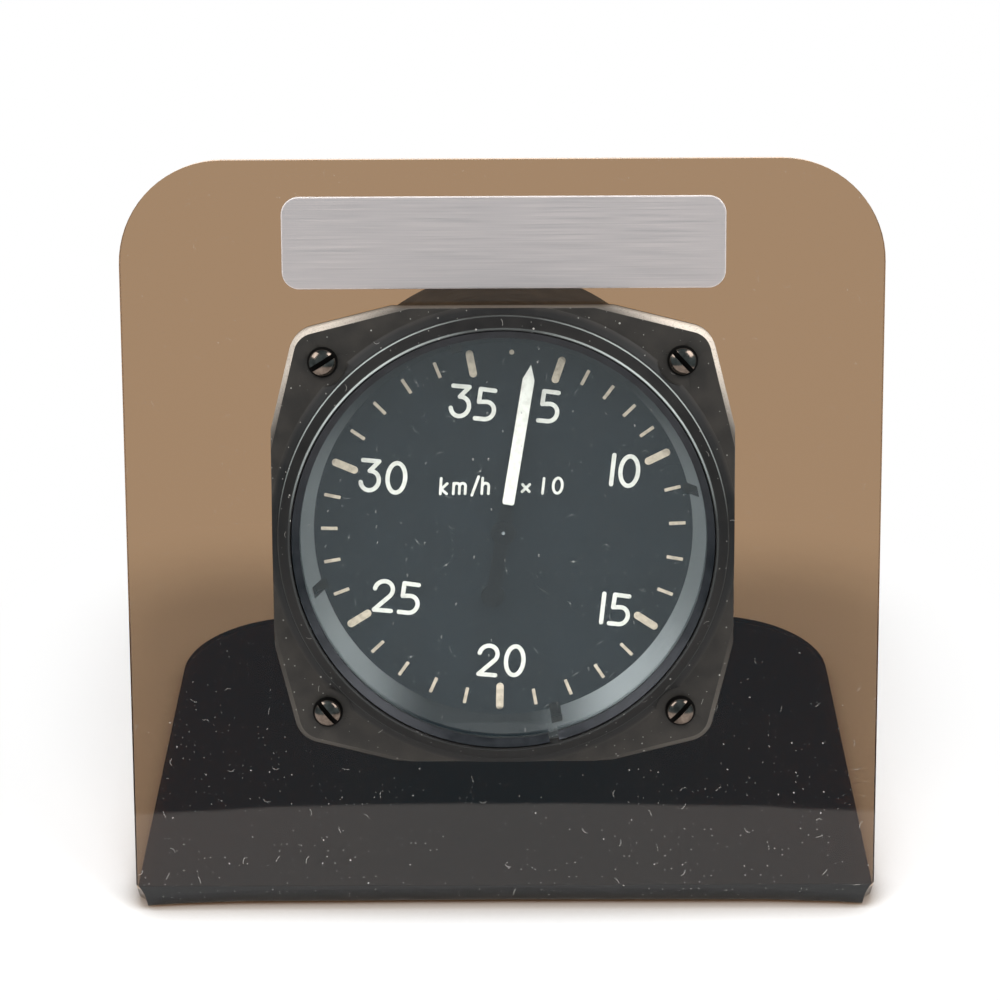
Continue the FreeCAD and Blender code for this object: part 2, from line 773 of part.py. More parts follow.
near, near_start, near_end = spiral(-spring_w / 2)
outer, outer_start, outer_end = spiral(spring_w / 2)
ribbon = Part.Face(Part.Wire([near, Part.makeLine(near_end, outer_end), outer,
                              Part.makeLine(outer_start, near_start)]))
save("hairspring", on_axis(ribbon.extrude(Vector(0, 0, spring_h))))
stud_x = spring_out + spring_w / 2
stud = block(stud_x, stud_x + stud_deep, -stud_w / 2, stud_w / 2, rear_plate_z, collet_mid + spring_h)
save("hairspring_stud", on_axis(turned(stud, spring_start + 360 * spring_turns)))

# Movement frame: countersunk front plate, windowed rear plate, pillars and their screws
ledge_points = [polar(*spot) for spot in ledge_screws]
pillar_points = [polar(*spot) for spot in pillar_spots]
long_points = ((-long_pillar_x, 0.0), (long_pillar_x, 0.0))
sunk_depth = small_head_r - small_screw_r


def sunk_head(grow):
    return [(0, grow), (small_head_r + grow, grow), (small_head_r + grow, 0),
            (small_screw_r + grow, -sunk_depth), (0, -sunk_depth)]


front_plate = cyl(dial_r, ledge_z, front_plate_z).cut(drill(arbor_r + pivot_gap))
front_plate = front_plate.cut(drill(pivot_r + pivot_gap, sector_x, sector_y))
for x, y in ledge_points + pillar_points:
    front_plate = front_plate.cut(moved(lathe(sunk_head(thread_gap)), x, y, front_plate_z))
front_plate = drilled(front_plate, small_hole_r, ledge_points + pillar_points)
save("front_plate", on_axis(front_plate))


def slotted(body, x, y, top, facing):
    floor = top - facing * small_slot_depth
    reach = small_head_r + end_shake
    return body.cut(block(x - reach, x + reach, y - small_slot_w / 2, y + small_slot_w / 2,
                          floor, top + facing)).removeSplitter()


def sunk_screw(x, y, reach):
    top = front_plate_z - thread_gap
    head = moved(lathe(sunk_head(0)[1:]), x, y, top)
    body = head.fuse(cyl(small_screw_r, ledge_z - reach, top - sunk_depth / 2, x, y))
    return slotted(body, x, y, top, 1)


def pan_screw(x, y, seat, grip, facing):
    top = seat + facing * small_head_t
    body = cyl(small_head_r, seat, top, x, y)
    body = body.fuse(cyl(small_screw_r, seat - facing * grip, seat, x, y))
    return slotted(body, x, y, top, facing)


def pillar(x, y, low, high):
    body = cyl(pillar_r, low, high, x, y)
    deep = screw_grip + 2 * end_shake
    body = body.cut(cyl(small_hole_r, high - deep, high + 1, x, y))
    return body.cut(cyl(small_hole_r, low - 1, low + deep, x, y))


save("ledge_screws", on_axis(group([sunk_screw(x, y, ledge_t - end_shake)
                                    for x, y in ledge_points])))
save("front_pillar_screws", on_axis(group([sunk_screw(x, y, screw_grip)
                                           for x, y in pillar_points])))
save("frame_pillars", on_axis(group([pillar(x, y, rear_plate_z, ledge_z)
                                     for x, y in pillar_points])))
window = rocker_drop + rear_plate_t
window_h = drive_pin_r + window * math.tan(math.radians(rocker_swing / 2)) + drive_window
rear_plate = cyl(rear_plate_r, rear_face, rear_plate_z).cut(drill(pivot_r + pivot_gap))
rear_plate = rear_plate.cut(drill(pivot_r + pivot_gap, sector_x, sector_y))
rear_plate = rear_plate.cut(block(drive_x - drive_pin_r - drive_window,
                                  drive_x + drive_pin_r + drive_window,
                                  rocker_y - window_h, rocker_y + window_h, -far, far))
rear_plate = drilled(rear_plate, small_hole_r, pillar_points + list(long_points))
save("rear_plate", on_axis(rear_plate))
save("rear_pillar_screws", on_axis(group([pan_screw(x, y, rear_face, rear_plate_t + screw_grip, -1)
                                          for x, y in pillar_points])))

# Sector: toothed rim on two spokes, with its counterweight, arbor and tail
sector_top = pinion_z - (pinion_t - sector_t) / 2
sector_low = sector_top - sector_t
teeth_behind = math.ceil((sector_swing - sector_back) * sector_teeth / 360) + spare_teeth
rim = []
for k in range(-teeth_behind, spare_teeth + 1):
    rim += tooth(sector_r, sector_teeth, mesh_angle + 360.0 / sector_teeth * k, sector_tooth_w)
rim_start = mesh_angle - 360.0 / sector_teeth * (teeth_behind + rim_overhang)
rim_end = mesh_angle + 360.0 / sector_teeth * (spare_teeth + rim_overhang)
rim_in = sector_r - sector_rim
rim_steps = 12
rim += [polar(rim_in, rim_end + (rim_start - rim_end) * k / rim_steps)
        for k in range(rim_steps + 1)]
sector_shapes = [prism(rim, sector_low, sector_top), cyl(sector_hub_r, sector_low, sector_top)]
for angle in (rim_start + spoke_inset, rim_end - spoke_inset):
    spoke = block(0, rim_in + sector_rim / 2, -spoke_w / 2, spoke_w / 2, sector_low, sector_top)
    sector_shapes.append(turned(spoke, angle))
stalk = block(-weight_reach, 0, -spoke_w / 2, spoke_w / 2, sector_low, sector_top)
sector_shapes.append(turned(stalk, mesh_angle + weight_turn))
sector = moved(fused(sector_shapes).cut(drill(sector_arbor_r)), sector_x, sector_y)
save("sector_gear", on_axis(sector))
weight_x, weight_y = polar(-weight_reach, mesh_angle + weight_turn, sector_x, sector_y)
weight = cyl(weight_r, pinion_z - pinion_t, pinion_z, weight_x, weight_y).cut(sector)
save("sector_weight", on_axis(weight))
sector_arbor = fused([cyl(sector_arbor_r, shoulder_z, collar_z, sector_x, sector_y),
                      cyl(pivot_r, pivot_end, front_plate_z - end_shake, sector_x, sector_y)])
save("sector_arbor", on_axis(sector_arbor))
tail = fused([block(-tail_arm - tail_spare, 0, -tail_w / 2, tail_w / 2,
                    tail_z - tail_t / 2, tail_z + tail_t / 2),
              cyl(tail_hub_r, tail_z - tail_t / 2, tail_z + tail_t / 2)])
tail = moved(turned(tail.cut(drill(sector_arbor_r)), -sector_mid), sector_x, sector_y)
save("sector_tail", on_axis(tail))


# Rocking shaft: two bearing lugs, link arm over the capsule and drive pin at the sector's tail
def rocked(shape):
    done = shape.copy()
    done.rotate(Vector(0, rocker_y, rocker_z), Vector(1, 0, 0), rocker_rest)
    return done


def lug(x):
    body = block(x - lug_t / 2, x + lug_t / 2, rocker_y - lug_w / 2, rocker_y + lug_w / 2,
                 rocker_z - lug_below, rear_face)
    return body.cut(x_cyl(pivot_r + pivot_gap, x - lug_t, x + lug_t, rocker_y, rocker_z))


save("shaft_bearings", on_axis(group([lug(x) for x in lug_x])))
shaft_x0 = lug_x[0] + lug_t / 2 + end_shake
shaft_x1 = lug_x[1] - lug_t / 2 - end_shake
shaft = fused([x_cyl(rocker_r, shaft_x0, shaft_x1, rocker_y, rocker_z),
               x_cyl(pivot_r, lug_x[0] - lug_t / 2, lug_x[1] + lug_t / 2, rocker_y, rocker_z)])
save("rocking_shaft", on_axis(rocked(shaft)))
link_x0 = arm_t / 2 + link_gap
link_x1 = link_x0 + link_t
arm = fused([block(-arm_t / 2, arm_t / 2, rocker_y, 0, rocker_z - arm_w / 2, rocker_z + arm_w / 2),
             x_cyl(rocker_hub_r, -arm_t / 2, arm_t / 2, rocker_y, rocker_z),
             x_cyl(arm_eye_r, -arm_t / 2, arm_t / 2, 0, rocker_z),
             x_cyl(pivot_r, -arm_t / 2, link_x1 + pin_spare, 0, rocker_z)])
arm = arm.cut(x_cyl(rocker_r, -far, far, rocker_y, rocker_z))
save("link_arm", on_axis(rocked(arm)))
drive_hub_w = arm_t
drive = fused([x_cyl(rocker_hub_r, drive_x - drive_hub_w / 2, drive_x + drive_hub_w / 2,
                     rocker_y, rocker_z),
               cyl(drive_pin_r, rocker_z, tail_z + tail_t / 2 + drive_spare, drive_x, rocker_y)])
drive = drive.cut(x_cyl(rocker_r, -far, far, rocker_y, rocker_z))
save("drive_arm", on_axis(rocked(drive)))

# Link from the arm down to the capsule's stem, its lower eye a little oversize
link = fused([block(link_x0, link_x1, link_y - link_w / 2, link_y + link_w / 2, stem_pin_z, link_z),
              x_cyl(link_eye_r, link_x0, link_x1, link_y, link_z),
              x_cyl(link_eye_r, link_x0, link_x1, link_y, stem_pin_z)])
link = link.cut(x_cyl(pivot_r + pivot_gap, 0, 2 * link_x1, link_y, link_z))
link = link.cut(x_cyl(pivot_r + link_slack, 0, 2 * link_x1, link_y, stem_pin_z))
save("link_rod", on_axis(link))

# Capsule: two corrugated discs soldered at the rim, moving stem in front, post behind
def wave(r):
    fade = min(1, (capsule_r - r) / (wave_pitch - capsule_skin))
    swell = capsule_rise * (1 - r / capsule_r) ** 0.8
    return capsule_rim + swell + capsule_wave * fade * math.sin(math.tau * r / wave_pitch)


def capsule_half(side, r_in):
    step = (capsule_r - wave_pitch / 4 - r_in) / capsule_steps
    upper = [(r, wave(r)) for r in [r_in + step * k for k in range(capsule_steps + 1)]]
    lower = [(r, z - capsule_skin) for r, z in reversed(upper)]
    edge = [(capsule_r, capsule_rim), (capsule_r, capsule_seam)]
    return lathe([(r, capsule_z + side * z) for r, z in upper + edge + lower])


def crest(r_in):
    step = (boss_r - r_in) / capsule_steps
    return max(wave(r_in + step * k) for k in range(capsule_steps + 1))


save("capsule_front", on_axis(capsule_half(1, stem_r)))
save("capsule_rear", on_axis(capsule_half(-1, post_r)))
boss_z = capsule_z + crest(stem_r)
blade_z = stem_pin_z - 2 * stem_r
stem = fused([cyl(boss_r, boss_z, boss_z + boss_t), cyl(stem_r, boss_z, blade_z + stem_r / 2),
              block(-arm_t / 2, arm_t / 2, -stem_r, stem_r, blade_z, stem_pin_z + link_eye_r),
              x_cyl(pivot_r, -arm_t / 2, link_x1 + pin_spare, stem_pin_y, stem_pin_z)])
save("capsule_stem", on_axis(stem))
back_z = capsule_z - crest(post_r)
post_end = bridge_z - post_below
post = fused([cyl(boss_r, back_z - boss_t, back_z), cyl(post_r, post_end, back_z + boss_t),
              cyl(post_collar_r, bridge_z, back_z - boss_t)])
post = post.cut(drill(post_bore_r))
post = post.cut(cyl(tube_r + tube_gap, post_end - 1, post_end + spigot_length))
save("capsule_post", on_axis(post))
bridge = block(-bridge_half, bridge_half, -bridge_w / 2, bridge_w / 2, bridge_z - bridge_t,
               bridge_z)
bridge = drilled(bridge.cut(drill(post_r + pivot_gap)), small_hole_r, long_points)
save("capsule_bridge", on_axis(bridge))
nut_seat = bridge_z - bridge_t
post_nut = hexagon(post_nut_across, nut_seat - post_nut_t, nut_seat).cut(drill(post_r + thread_gap))
save("post_nut", on_axis(post_nut))
save("bridge_pillars", on_axis(group([pillar(x, y, bridge_z, rear_face) for x, y in long_points])))
bridge_screws = []
for x, y in long_points:
    bridge_screws.append(pan_screw(x, y, nut_seat, bridge_t + screw_grip, -1))
    bridge_screws.append(pan_screw(x, y, rear_plate_z, rear_plate_t + screw_grip, 1))
save("bridge_screws", on_axis(group(bridge_screws)))

# Pressure ports through the rear wall: nipple, seal and inner nut, each twice
port_face = -can_depth - port_boss_t
hex_face = port_face - seal_t
nipple_z = hex_face - port_hex_t
nut_face = inner_floor + port_nut_t


def port(x, y):
    body = fused([cyl(port_stem_r, hex_face, nut_face + end_shake, x, y),
                  hexagon(port_hex, nipple_z, hex_face, x, y),
                  cyl(nipple_r, nipple_z - nipple_length, nipple_z, x, y),
                  cyl(spigot_r, nut_face, nut_face + spigot_length, x, y)])
    body = body.cut(cyl(nipple_bore_r, -far, inner_floor, x, y))
    return body.cut(drill(tube_r + tube_gap, x, y))


for name, (x, y) in zip(("pitot_port", "static_port"), ports):
    save(name, on_axis(port(x, y)))
seals = [ring(port_stem_r + port_gap, port_hex / 2, hex_face, port_face, x, y) for x, y in ports]
save("port_seals", on_axis(group(seals)))
port_nuts = [hexagon(port_hex, inner_floor, nut_face, x, y)
             .cut(drill(port_stem_r + thread_gap, x, y)) for x, y in ports]
save("port_nuts", on_axis(group(port_nuts)))


# Capillary from the pitot port's inner spigot to the capsule's post: straight runs and arcs
def bent_path(points, radius):
    edges = []
    start = Vector(*points[0])
    for a, b, c in zip(points[:-2], points[1:-1], points[2:]):
        corner = Vector(*b)
        back = (Vector(*a) - corner).normalize()
        ahead = (Vector(*c) - corner).normalize()
        half_bend = back.getAngle(ahead) / 2
        run = radius / math.tan(half_bend)
        p0 = corner + back * run
        p1 = corner + ahead * run
        middle = (back + ahead).normalize()
        crown = corner + middle * (radius / math.sin(half_bend) - radius)
        edges += [Part.makeLine(start, p0), Part.Arc(p0, crown, p1).toShape()]
        start = p1
    return Part.Wire(edges + [Part.makeLine(start, Vector(*points[-1]))])


spigot_end = nut_face + spigot_length
level = (spigot_end + post_end) / 2
loop_y = port_x
tube_route = ((-port_x, 0, nut_face + end_shake), (-port_x, 0, level), (-port_x, loop_y, level),
              (port_x, loop_y, level), (port_x, 0, level), (0, 0, level),
              (0, 0, post_end + spigot_length - end_shake))
tube_path = bent_path(tube_route, tube_bend)
mouth = Part.Wire(Part.makeCircle(tube_r, Vector(*tube_route[0]), Vector(0, 0, 1)))
tube = tube_path.makePipeShell([mouth], True, True)
save("capillary_tube", on_axis(tube))

# Mounting screws with domed slotted heads, washers and nuts behind the panel
nut_z = -sheet_t - washer_t
dome_h = screw_head_h - screw_head_side
dome_r = (screw_head_r ** 2 + dome_h ** 2) / (2 * dome_h)
screws = []
for (x, y), angle in zip(hole_spots, slot_angles):
    head = Part.makeSphere(dome_r, Vector(0, 0, screw_head_h - dome_r))
    head = head.common(cyl(screw_head_r, 0, screw_head_h + 1))
    shank_end = nut_z - nut_t - screw_spare - flange_t
    slot = block(-2 * screw_head_r, 2 * screw_head_r, -screw_slot_w / 2, screw_slot_w / 2,
                 screw_head_h - screw_slot_depth, screw_head_h + 1)
    screw = head.fuse(cyl(screw_r, shank_end, screw_head_side)).cut(turned(slot, angle))
    screws.append(moved(screw.removeSplitter(), x, y, flange_t))
save("mounting_screws", on_axis(group(screws)))
washers = [ring(screw_r + screw_gap, washer_r, nut_z, -sheet_t, x, y) for x, y in hole_spots]
save("mounting_washers", on_axis(group(washers)))
nuts = [hexagon(nut_across, nut_z - nut_t, nut_z, x, y).cut(drill(screw_r + thread_gap, x, y))
        for x, y in hole_spots]
save("mounting_nuts", on_axis(group(nuts)))

tube_length = tube_path.Length
print("tube volume", round(tube.Volume, 2), "of", round(math.pi * tube_r ** 2 * tube_length, 2))
print("sector at", round(sector_x, 4), sector_y)
print("rocker at", round(rocker_y, 4), round(rocker_z, 4), "rest", round(rocker_rest, 4))
print("rocker turns", round(rocker_swing / sector_swing, 5), "per sector turn")
print("link top", round(link_y, 4), round(link_z, 4), "stem pin", round(stem_pin_z, 4))
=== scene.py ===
import math

import bpy
from mathutils import Matrix, Vector


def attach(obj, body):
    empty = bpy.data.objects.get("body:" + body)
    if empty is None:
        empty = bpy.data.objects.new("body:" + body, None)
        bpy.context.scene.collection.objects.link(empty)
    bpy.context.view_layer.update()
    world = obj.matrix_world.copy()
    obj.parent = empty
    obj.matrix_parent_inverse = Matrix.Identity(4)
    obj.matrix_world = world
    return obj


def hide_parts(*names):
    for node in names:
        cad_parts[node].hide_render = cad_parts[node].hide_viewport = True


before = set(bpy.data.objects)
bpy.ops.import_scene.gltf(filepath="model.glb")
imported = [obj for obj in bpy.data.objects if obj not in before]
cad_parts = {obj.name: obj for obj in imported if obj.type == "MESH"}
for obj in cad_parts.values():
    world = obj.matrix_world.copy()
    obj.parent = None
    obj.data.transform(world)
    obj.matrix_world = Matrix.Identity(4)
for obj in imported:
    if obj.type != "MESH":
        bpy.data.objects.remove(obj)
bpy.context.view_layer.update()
bpy.ops.object.select_all(action="DESELECT")

# Studio: a white table under soft light, with dark room around it.
# The table looks white to the camera and through clear plastic, and keeps the object's shadow.
scene = bpy.context.scene
scene.view_settings.view_transform = "Standard"


def linear(code):
    """An sRGB hex colour as linear red, green, blue and alpha."""
    channels = [int(code[i:i + 2], 16) / 255 for i in (1, 3, 5)]
    return [c / 12.92 if c <= 0.04045 else ((c + 0.055) / 1.055) ** 2.4 for c in channels] + [1]


def add(tree, kind, inputs=None, **settings):
    """Adds a node. Each input is a value or the socket that feeds it."""
    made = tree.nodes.new(kind)
    for key, value in settings.items():
        setattr(made, key, value)
    for key, value in (inputs or {}).items():
        if isinstance(value, bpy.types.NodeSocket):
            tree.links.new(value, made.inputs[key])
        else:
            made.inputs[key].default_value = value
    return made


def new_material(name):
    """An empty node material and its tree."""
    material = bpy.data.materials.new(name)
    material.use_nodes = True
    material.node_tree.nodes.clear()
    return material, material.node_tree


def finish(tree, surface):
    """Leads a shader to the material's output."""
    add(tree, "ShaderNodeOutputMaterial", {"Surface": surface})


def dress(piece, material):
    """Gives all faces of a piece one material."""
    if not piece.material_slots:
        piece.data.materials.append(material)
    for place in piece.material_slots:
        place.material = material


def seen_straight(tree, light_path):
    """1 on rays that the camera sends straight, or through glass and acrylic, but not by way of
    another surface."""
    bounces = add(tree, "ShaderNodeMath", {0: light_path["Diffuse Depth"],
                                           1: light_path["Glossy Depth"]}).outputs[0]
    bounces = add(tree, "ShaderNodeMath", {0: bounces, 1: light_path["Transmission Depth"]},
                  operation="SUBTRACT").outputs[0]
    direct = add(tree, "ShaderNodeMath", {0: bounces, 1: 0.5}, operation="LESS_THAN").outputs[0]
    through = add(tree, "ShaderNodeMath", {0: light_path["Is Transmission Ray"], 1: direct},
                  operation="MULTIPLY").outputs[0]
    return add(tree, "ShaderNodeMath", {0: light_path["Is Camera Ray"], 1: through},
               operation="MAXIMUM").outputs[0]


# White laminate: lit and shaded near the object, and plain white past that
table, t = new_material("white_laminate")
light_path = add(t, "ShaderNodeLightPath").outputs
place = add(t, "ShaderNodeTexCoord").outputs["Object"]
# Painted shade: a brownish half-shade painted into the table's colour close under the stand's edge,
# where ambient occlusion finds the sky shut off within 10 mm
ao_for_painted_shade = add(t, "ShaderNodeAmbientOcclusion", {"Distance": 0.010}, samples=8).outputs["AO"]
ao_for_painted_shade = add(t, "ShaderNodeMapRange", {0: ao_for_painted_shade, 1: 0.45, 2: 0.93, 3: 0, 4: 1}).outputs[0]
tone = add(t, "ShaderNodeMix", {"Factor": ao_for_painted_shade, 6: linear("#A89E95"), 7: linear("#F8F8F8")},
           data_type="RGBA").outputs[2]
lit = add(t, "ShaderNodeBsdfDiffuse", {"Color": tone}).outputs[0]
# The white is over-exposed, which shows through the sheet and in mirrored light
plain, over_exposed = 1.0, 1.4
strength = add(t, "ShaderNodeMapRange", {0: light_path["Is Camera Ray"], 3: over_exposed,
                                         4: plain}).outputs[0]
white = add(t, "ShaderNodeEmission", {"Color": linear("#FFFFFF"), "Strength": strength}).outputs[0]
# How far a spot lies outside the stand's footprint
stand_middle_y, stand_half_x, stand_half_y = 0.001, 0.062, 0.059
lit_to, white_from = 0.012, 0.055
off = add(t, "ShaderNodeVectorMath", {0: place, 1: (0, -stand_middle_y, 0)},
          operation="ADD").outputs[0]
off = add(t, "ShaderNodeVectorMath", {0: off}, operation="ABSOLUTE").outputs[0]
off = add(t, "ShaderNodeVectorMath", {0: off, 1: (stand_half_x, stand_half_y, 0)},
          operation="SUBTRACT").outputs[0]
off = add(t, "ShaderNodeVectorMath", {0: off, 1: (0, 0, 0)}, operation="MAXIMUM").outputs[0]
off = add(t, "ShaderNodeVectorMath", {0: off}, operation="LENGTH").outputs["Value"]
far = add(t, "ShaderNodeMapRange", {0: off, 1: lit_to, 2: white_from, 3: 0.0, 4: 1.0},
          interpolation_type="SMOOTHSTEP").outputs[0]
shown = add(t, "ShaderNodeMixShader", {0: far, 1: lit, 2: white}).outputs[0]
# Glossy surfaces see an oval patch of this table in front, with a soft edge, and dim room past it
room_grey = linear("#8AA7B5")
patch_y, patch_half_x, patch_half_y = -0.20, 0.22, 0.38
patch = add(t, "ShaderNodeMapping", {0: place, "Location": (0, -patch_y, 0)}).outputs[0]
patch = add(t, "ShaderNodeMapping", {0: patch, "Scale": (1 / patch_half_x, 1 / patch_half_y,
                                                         1)}).outputs[0]
reach = add(t, "ShaderNodeVectorMath", {0: patch}, operation="LENGTH").outputs["Value"]
beyond = add(t, "ShaderNodeMapRange", {0: reach, 1: 0.94, 2: 1.06, 3: 0, 4: 1},
             interpolation_type="SMOOTHSTEP").outputs[0]
in_front = add(t, "ShaderNodeSeparateXYZ", {0: place}).outputs["Y"]
in_front = add(t, "ShaderNodeMapRange", {0: in_front, 1: 0.0, 2: 0.1, 3: 1, 4: 0}).outputs[0]
beyond = add(t, "ShaderNodeMath", {0: beyond, 1: in_front}, operation="MULTIPLY").outputs[0]
# The satin surfaces under the window, four faces of clear sheet away, lie in shade and see little
under = add(t, "ShaderNodeMapRange", {0: light_path["Transmission Depth"], 1: 3, 2: 4, 3: 0,
                                      4: 1}).outputs[0]
beyond = add(t, "ShaderNodeMath", {0: beyond, 1: under}, operation="MAXIMUM").outputs[0]
strength = add(t, "ShaderNodeMapRange", {0: under, 3: 1.0, 4: 0.25}).outputs[0]
dim = add(t, "ShaderNodeEmission", {"Color": room_grey, "Strength": strength}).outputs[0]
mirrored = add(t, "ShaderNodeMixShader", {0: beyond, 1: shown, 2: dim}).outputs[0]
unseen = add(t, "ShaderNodeMixShader", {0: light_path["Is Glossy Ray"], 1: lit,
                                        2: mirrored}).outputs[0]
finish(t, add(t, "ShaderNodeMixShader", {0: seen_straight(t, light_path), 1: unseen,
                                         2: shown}).outputs[0])
bpy.ops.mesh.primitive_plane_add(size=8, location=(0, 0, -0.0001))
floor = bpy.context.object
floor.name = "table_top"
dress(floor, table)

# Room: as glossy faces see it, dim blue-grey in front of the object and dark over and behind it
world = bpy.data.worlds.new("room")
scene.world = world
world.use_nodes = True
w = world.node_tree
w.nodes.clear()
light_path = add(w, "ShaderNodeLightPath").outputs
place = add(w, "ShaderNodeTexCoord").outputs["Generated"]
towards = add(w, "ShaderNodeSeparateXYZ", {0: place}).outputs
front = add(w, "ShaderNodeMapRange", {0: towards["Y"], 1: -0.3, 2: 0.2, 3: 1.0,
                                      4: 0.12}).outputs[0]
# The backdrop is over-exposed too, but not in the glare between the window's faces
unmixed = add(w, "ShaderNodeMath", {0: light_path["Is Camera Ray"],
                                    1: light_path["Glossy Depth"]}).outputs[0]
strength = add(w, "ShaderNodeMapRange", {0: unmixed, 3: over_exposed, 4: plain}).outputs[0]
white = add(w, "ShaderNodeBackground", {"Color": linear("#FFFFFF"),
                                        "Strength": strength}).outputs[0]
fill = add(w, "ShaderNodeBackground", {"Color": linear("#FFFFFF"), "Strength": 0.15}).outputs[0]
# Behind the glass the satin surfaces lie in shade, and see little of it
shade_in = add(w, "ShaderNodeMapRange", {0: light_path["Transmission Depth"], 3: 1.0,
                                         4: 0.25}).outputs[0]
front = add(w, "ShaderNodeMath", {0: front, 1: shade_in}, operation="MULTIPLY").outputs[0]
glossy = add(w, "ShaderNodeBackground", {"Color": room_grey, "Strength": front}).outputs[0]
# Low down behind the object the white backdrop shows, and glances off the top of the can
low = add(w, "ShaderNodeMapRange", {0: towards["Z"], 1: 0.15, 2: 0.3, 3: 1, 4: 0}).outputs[0]
behind = add(w, "ShaderNodeMapRange", {0: towards["Y"], 1: 0.2, 2: 0.5, 3: 0, 4: 1}).outputs[0]
behind = add(w, "ShaderNodeMath", {0: behind, 1: low}, operation="MULTIPLY").outputs[0]
glossy = add(w, "ShaderNodeMixShader", {0: behind, 1: glossy, 2: white}).outputs[0]
room = add(w, "ShaderNodeMixShader", {0: light_path["Is Glossy Ray"], 1: fill,
                                      2: glossy}).outputs[0]
room = add(w, "ShaderNodeMixShader", {0: seen_straight(w, light_path), 1: room,
                                      2: white}).outputs[0]
add(w, "ShaderNodeOutputWorld", {"Surface": room})


def softbox(name, place, width, height, power):
    """A rectangular lamp of so many watts, aimed at the object's middle. Sizes are in metres."""
    lamp = bpy.data.lights.new(name, "AREA")
    lamp.shape = "RECTANGLE"
    lamp.size = width
    lamp.size_y = height
    lamp.energy = power
    made = bpy.data.objects.new(name, lamp)
    scene.collection.objects.link(made)
    made.location = place
    made.rotation_euler = (object_middle - Vector(place)).to_track_quat("-Z", "Y").to_euler()
    return made


object_middle = Vector((0, 0, 0.07))
softbox("softbox_right", (0.95, -0.55, 1.05), 0.8, 0.8, 11.7)
softbox("softbox_left", (-0.95, -0.55, 1.05), 0.8, 0.8, 10.7)
# These two only fill the shadows, and glossy faces don't show them
softbox("softbox_over", (0, 0.25, 1.3), 0.9, 0.6, 5).visible_glossy = False
softbox("softbox_front", (0, -0.9, 1.1), 0.9, 0.5, 9).visible_glossy = False

# Camera: solved from the corners of panel and flange
pitch, yaw, roll = (math.radians(a) for a in (24.58, 0.22, -0.33))
camera_place = (0.0013, -0.5322, 0.3016)
focal_length = 105.05
ahead = Vector((0, math.cos(pitch), -math.sin(pitch)))
up = Vector((0, math.sin(pitch), math.cos(pitch)))
spin = Matrix.Rotation(yaw, 3, "Z")
ahead, up, right = spin @ ahead, spin @ up, spin @ Vector((1, 0, 0))
up, right = (up * math.cos(roll) - right * math.sin(roll),
             right * math.cos(roll) + up * math.sin(roll))
lens = bpy.data.cameras.new("camera")
lens.lens = focal_length
lens.sensor_width = 36
camera = bpy.data.objects.new("camera", lens)
scene.collection.objects.link(camera)
turn = Matrix((right, up, -ahead)).transposed()
camera.matrix_world = Matrix.Translation(camera_place) @ turn.to_4x4()
scene.camera = camera

# Stand: one sheet of 3 mm smoke-brown cast acrylic, cut, flame-polished and bent over a hot wire.
# Its cut edges are slightly rounded by the polishing and catch the light.
lean = math.radians(14.18)
fold_y, axis_up = -0.060, 0.073
axis_turn = Matrix.Rotation(math.radians(90) - lean, 4, "X")
axis_place = Matrix.Translation((0, axis_up * math.sin(lean) + fold_y, axis_up * math.cos(lean)))
# The instrument's own axes: x to the right, y up the dial, z out of the panel's front face
instrument = axis_place @ axis_turn


def select_only(piece):
    """Object mode, with one piece selected and active."""
    if bpy.context.mode != "OBJECT":
        bpy.ops.object.mode_set(mode="OBJECT")
    bpy.ops.object.select_all(action="DESELECT")
    piece.select_set(True)
    bpy.context.view_layer.objects.active = piece


def shade(piece, angle):
    """Smooth shading where faces meet at less than angle degrees, with flat faces kept flat."""
    bpy.ops.object.shade_smooth_by_angle(angle=math.radians(angle))
    flat = piece.modifiers.new("flat_faces", "WEIGHTED_NORMAL")
    flat.weight = 100
    flat.keep_sharp = True
    bpy.ops.object.modifier_apply(modifier=flat.name)


def refine(node, body, material, edge=0, angle=30):
    """A merged copy of a CAD node that stands for it, its sharp edges rounded by edge metres."""
    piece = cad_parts[node].copy()
    piece.data = piece.data.copy()
    piece.name = node + "_finished"
    scene.collection.objects.link(piece)
    select_only(piece)
    bpy.ops.object.mode_set(mode="EDIT")
    bpy.ops.mesh.select_all(action="SELECT")
    bpy.ops.mesh.remove_doubles(threshold=1e-6)
    bpy.ops.object.mode_set(mode="OBJECT")
    if edge:
        rounding = piece.modifiers.new("rounding", "BEVEL")
        rounding.width = edge
        rounding.segments = 2
        rounding.limit_method = "ANGLE"
        rounding.angle_limit = math.radians(angle)
        bpy.ops.object.modifier_apply(modifier=rounding.name)
    shade(piece, angle)
    dress(piece, material)
    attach(piece, body)
    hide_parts(node)


def instrument_axes(tree, place):
    """Object coordinates turned and moved to the instrument's own axes."""
    back = instrument.inverted()
    return add(tree, "ShaderNodeMapping", {0: place, "Location": back.to_translation(),
                                           "Rotation": back.to_euler()}).outputs[0]


def specks(tree, place, cell, share, size):
    """1 on scattered round specks in the x-y plane of place: cell is their spacing and size their
    largest radius, in metres."""
    cells = add(tree, "ShaderNodeTexVoronoi", {"Vector": place, "Scale": 1 / cell},
                voronoi_dimensions="2D")
    chosen = add(tree, "ShaderNodeSeparateColor", {0: cells.outputs["Color"]})
    keep = add(tree, "ShaderNodeMath", {0: chosen.outputs[0], 1: share},
               operation="LESS_THAN").outputs[0]
    reach = add(tree, "ShaderNodeMath", {0: chosen.outputs[1], 1: size / cell},
                operation="MULTIPLY").outputs[0]
    inside = add(tree, "ShaderNodeMath", {0: cells.outputs["Distance"], 1: reach},
                 operation="LESS_THAN").outputs[0]
    return add(tree, "ShaderNodeMath", {0: keep, 1: inside}, operation="MULTIPLY").outputs[0]


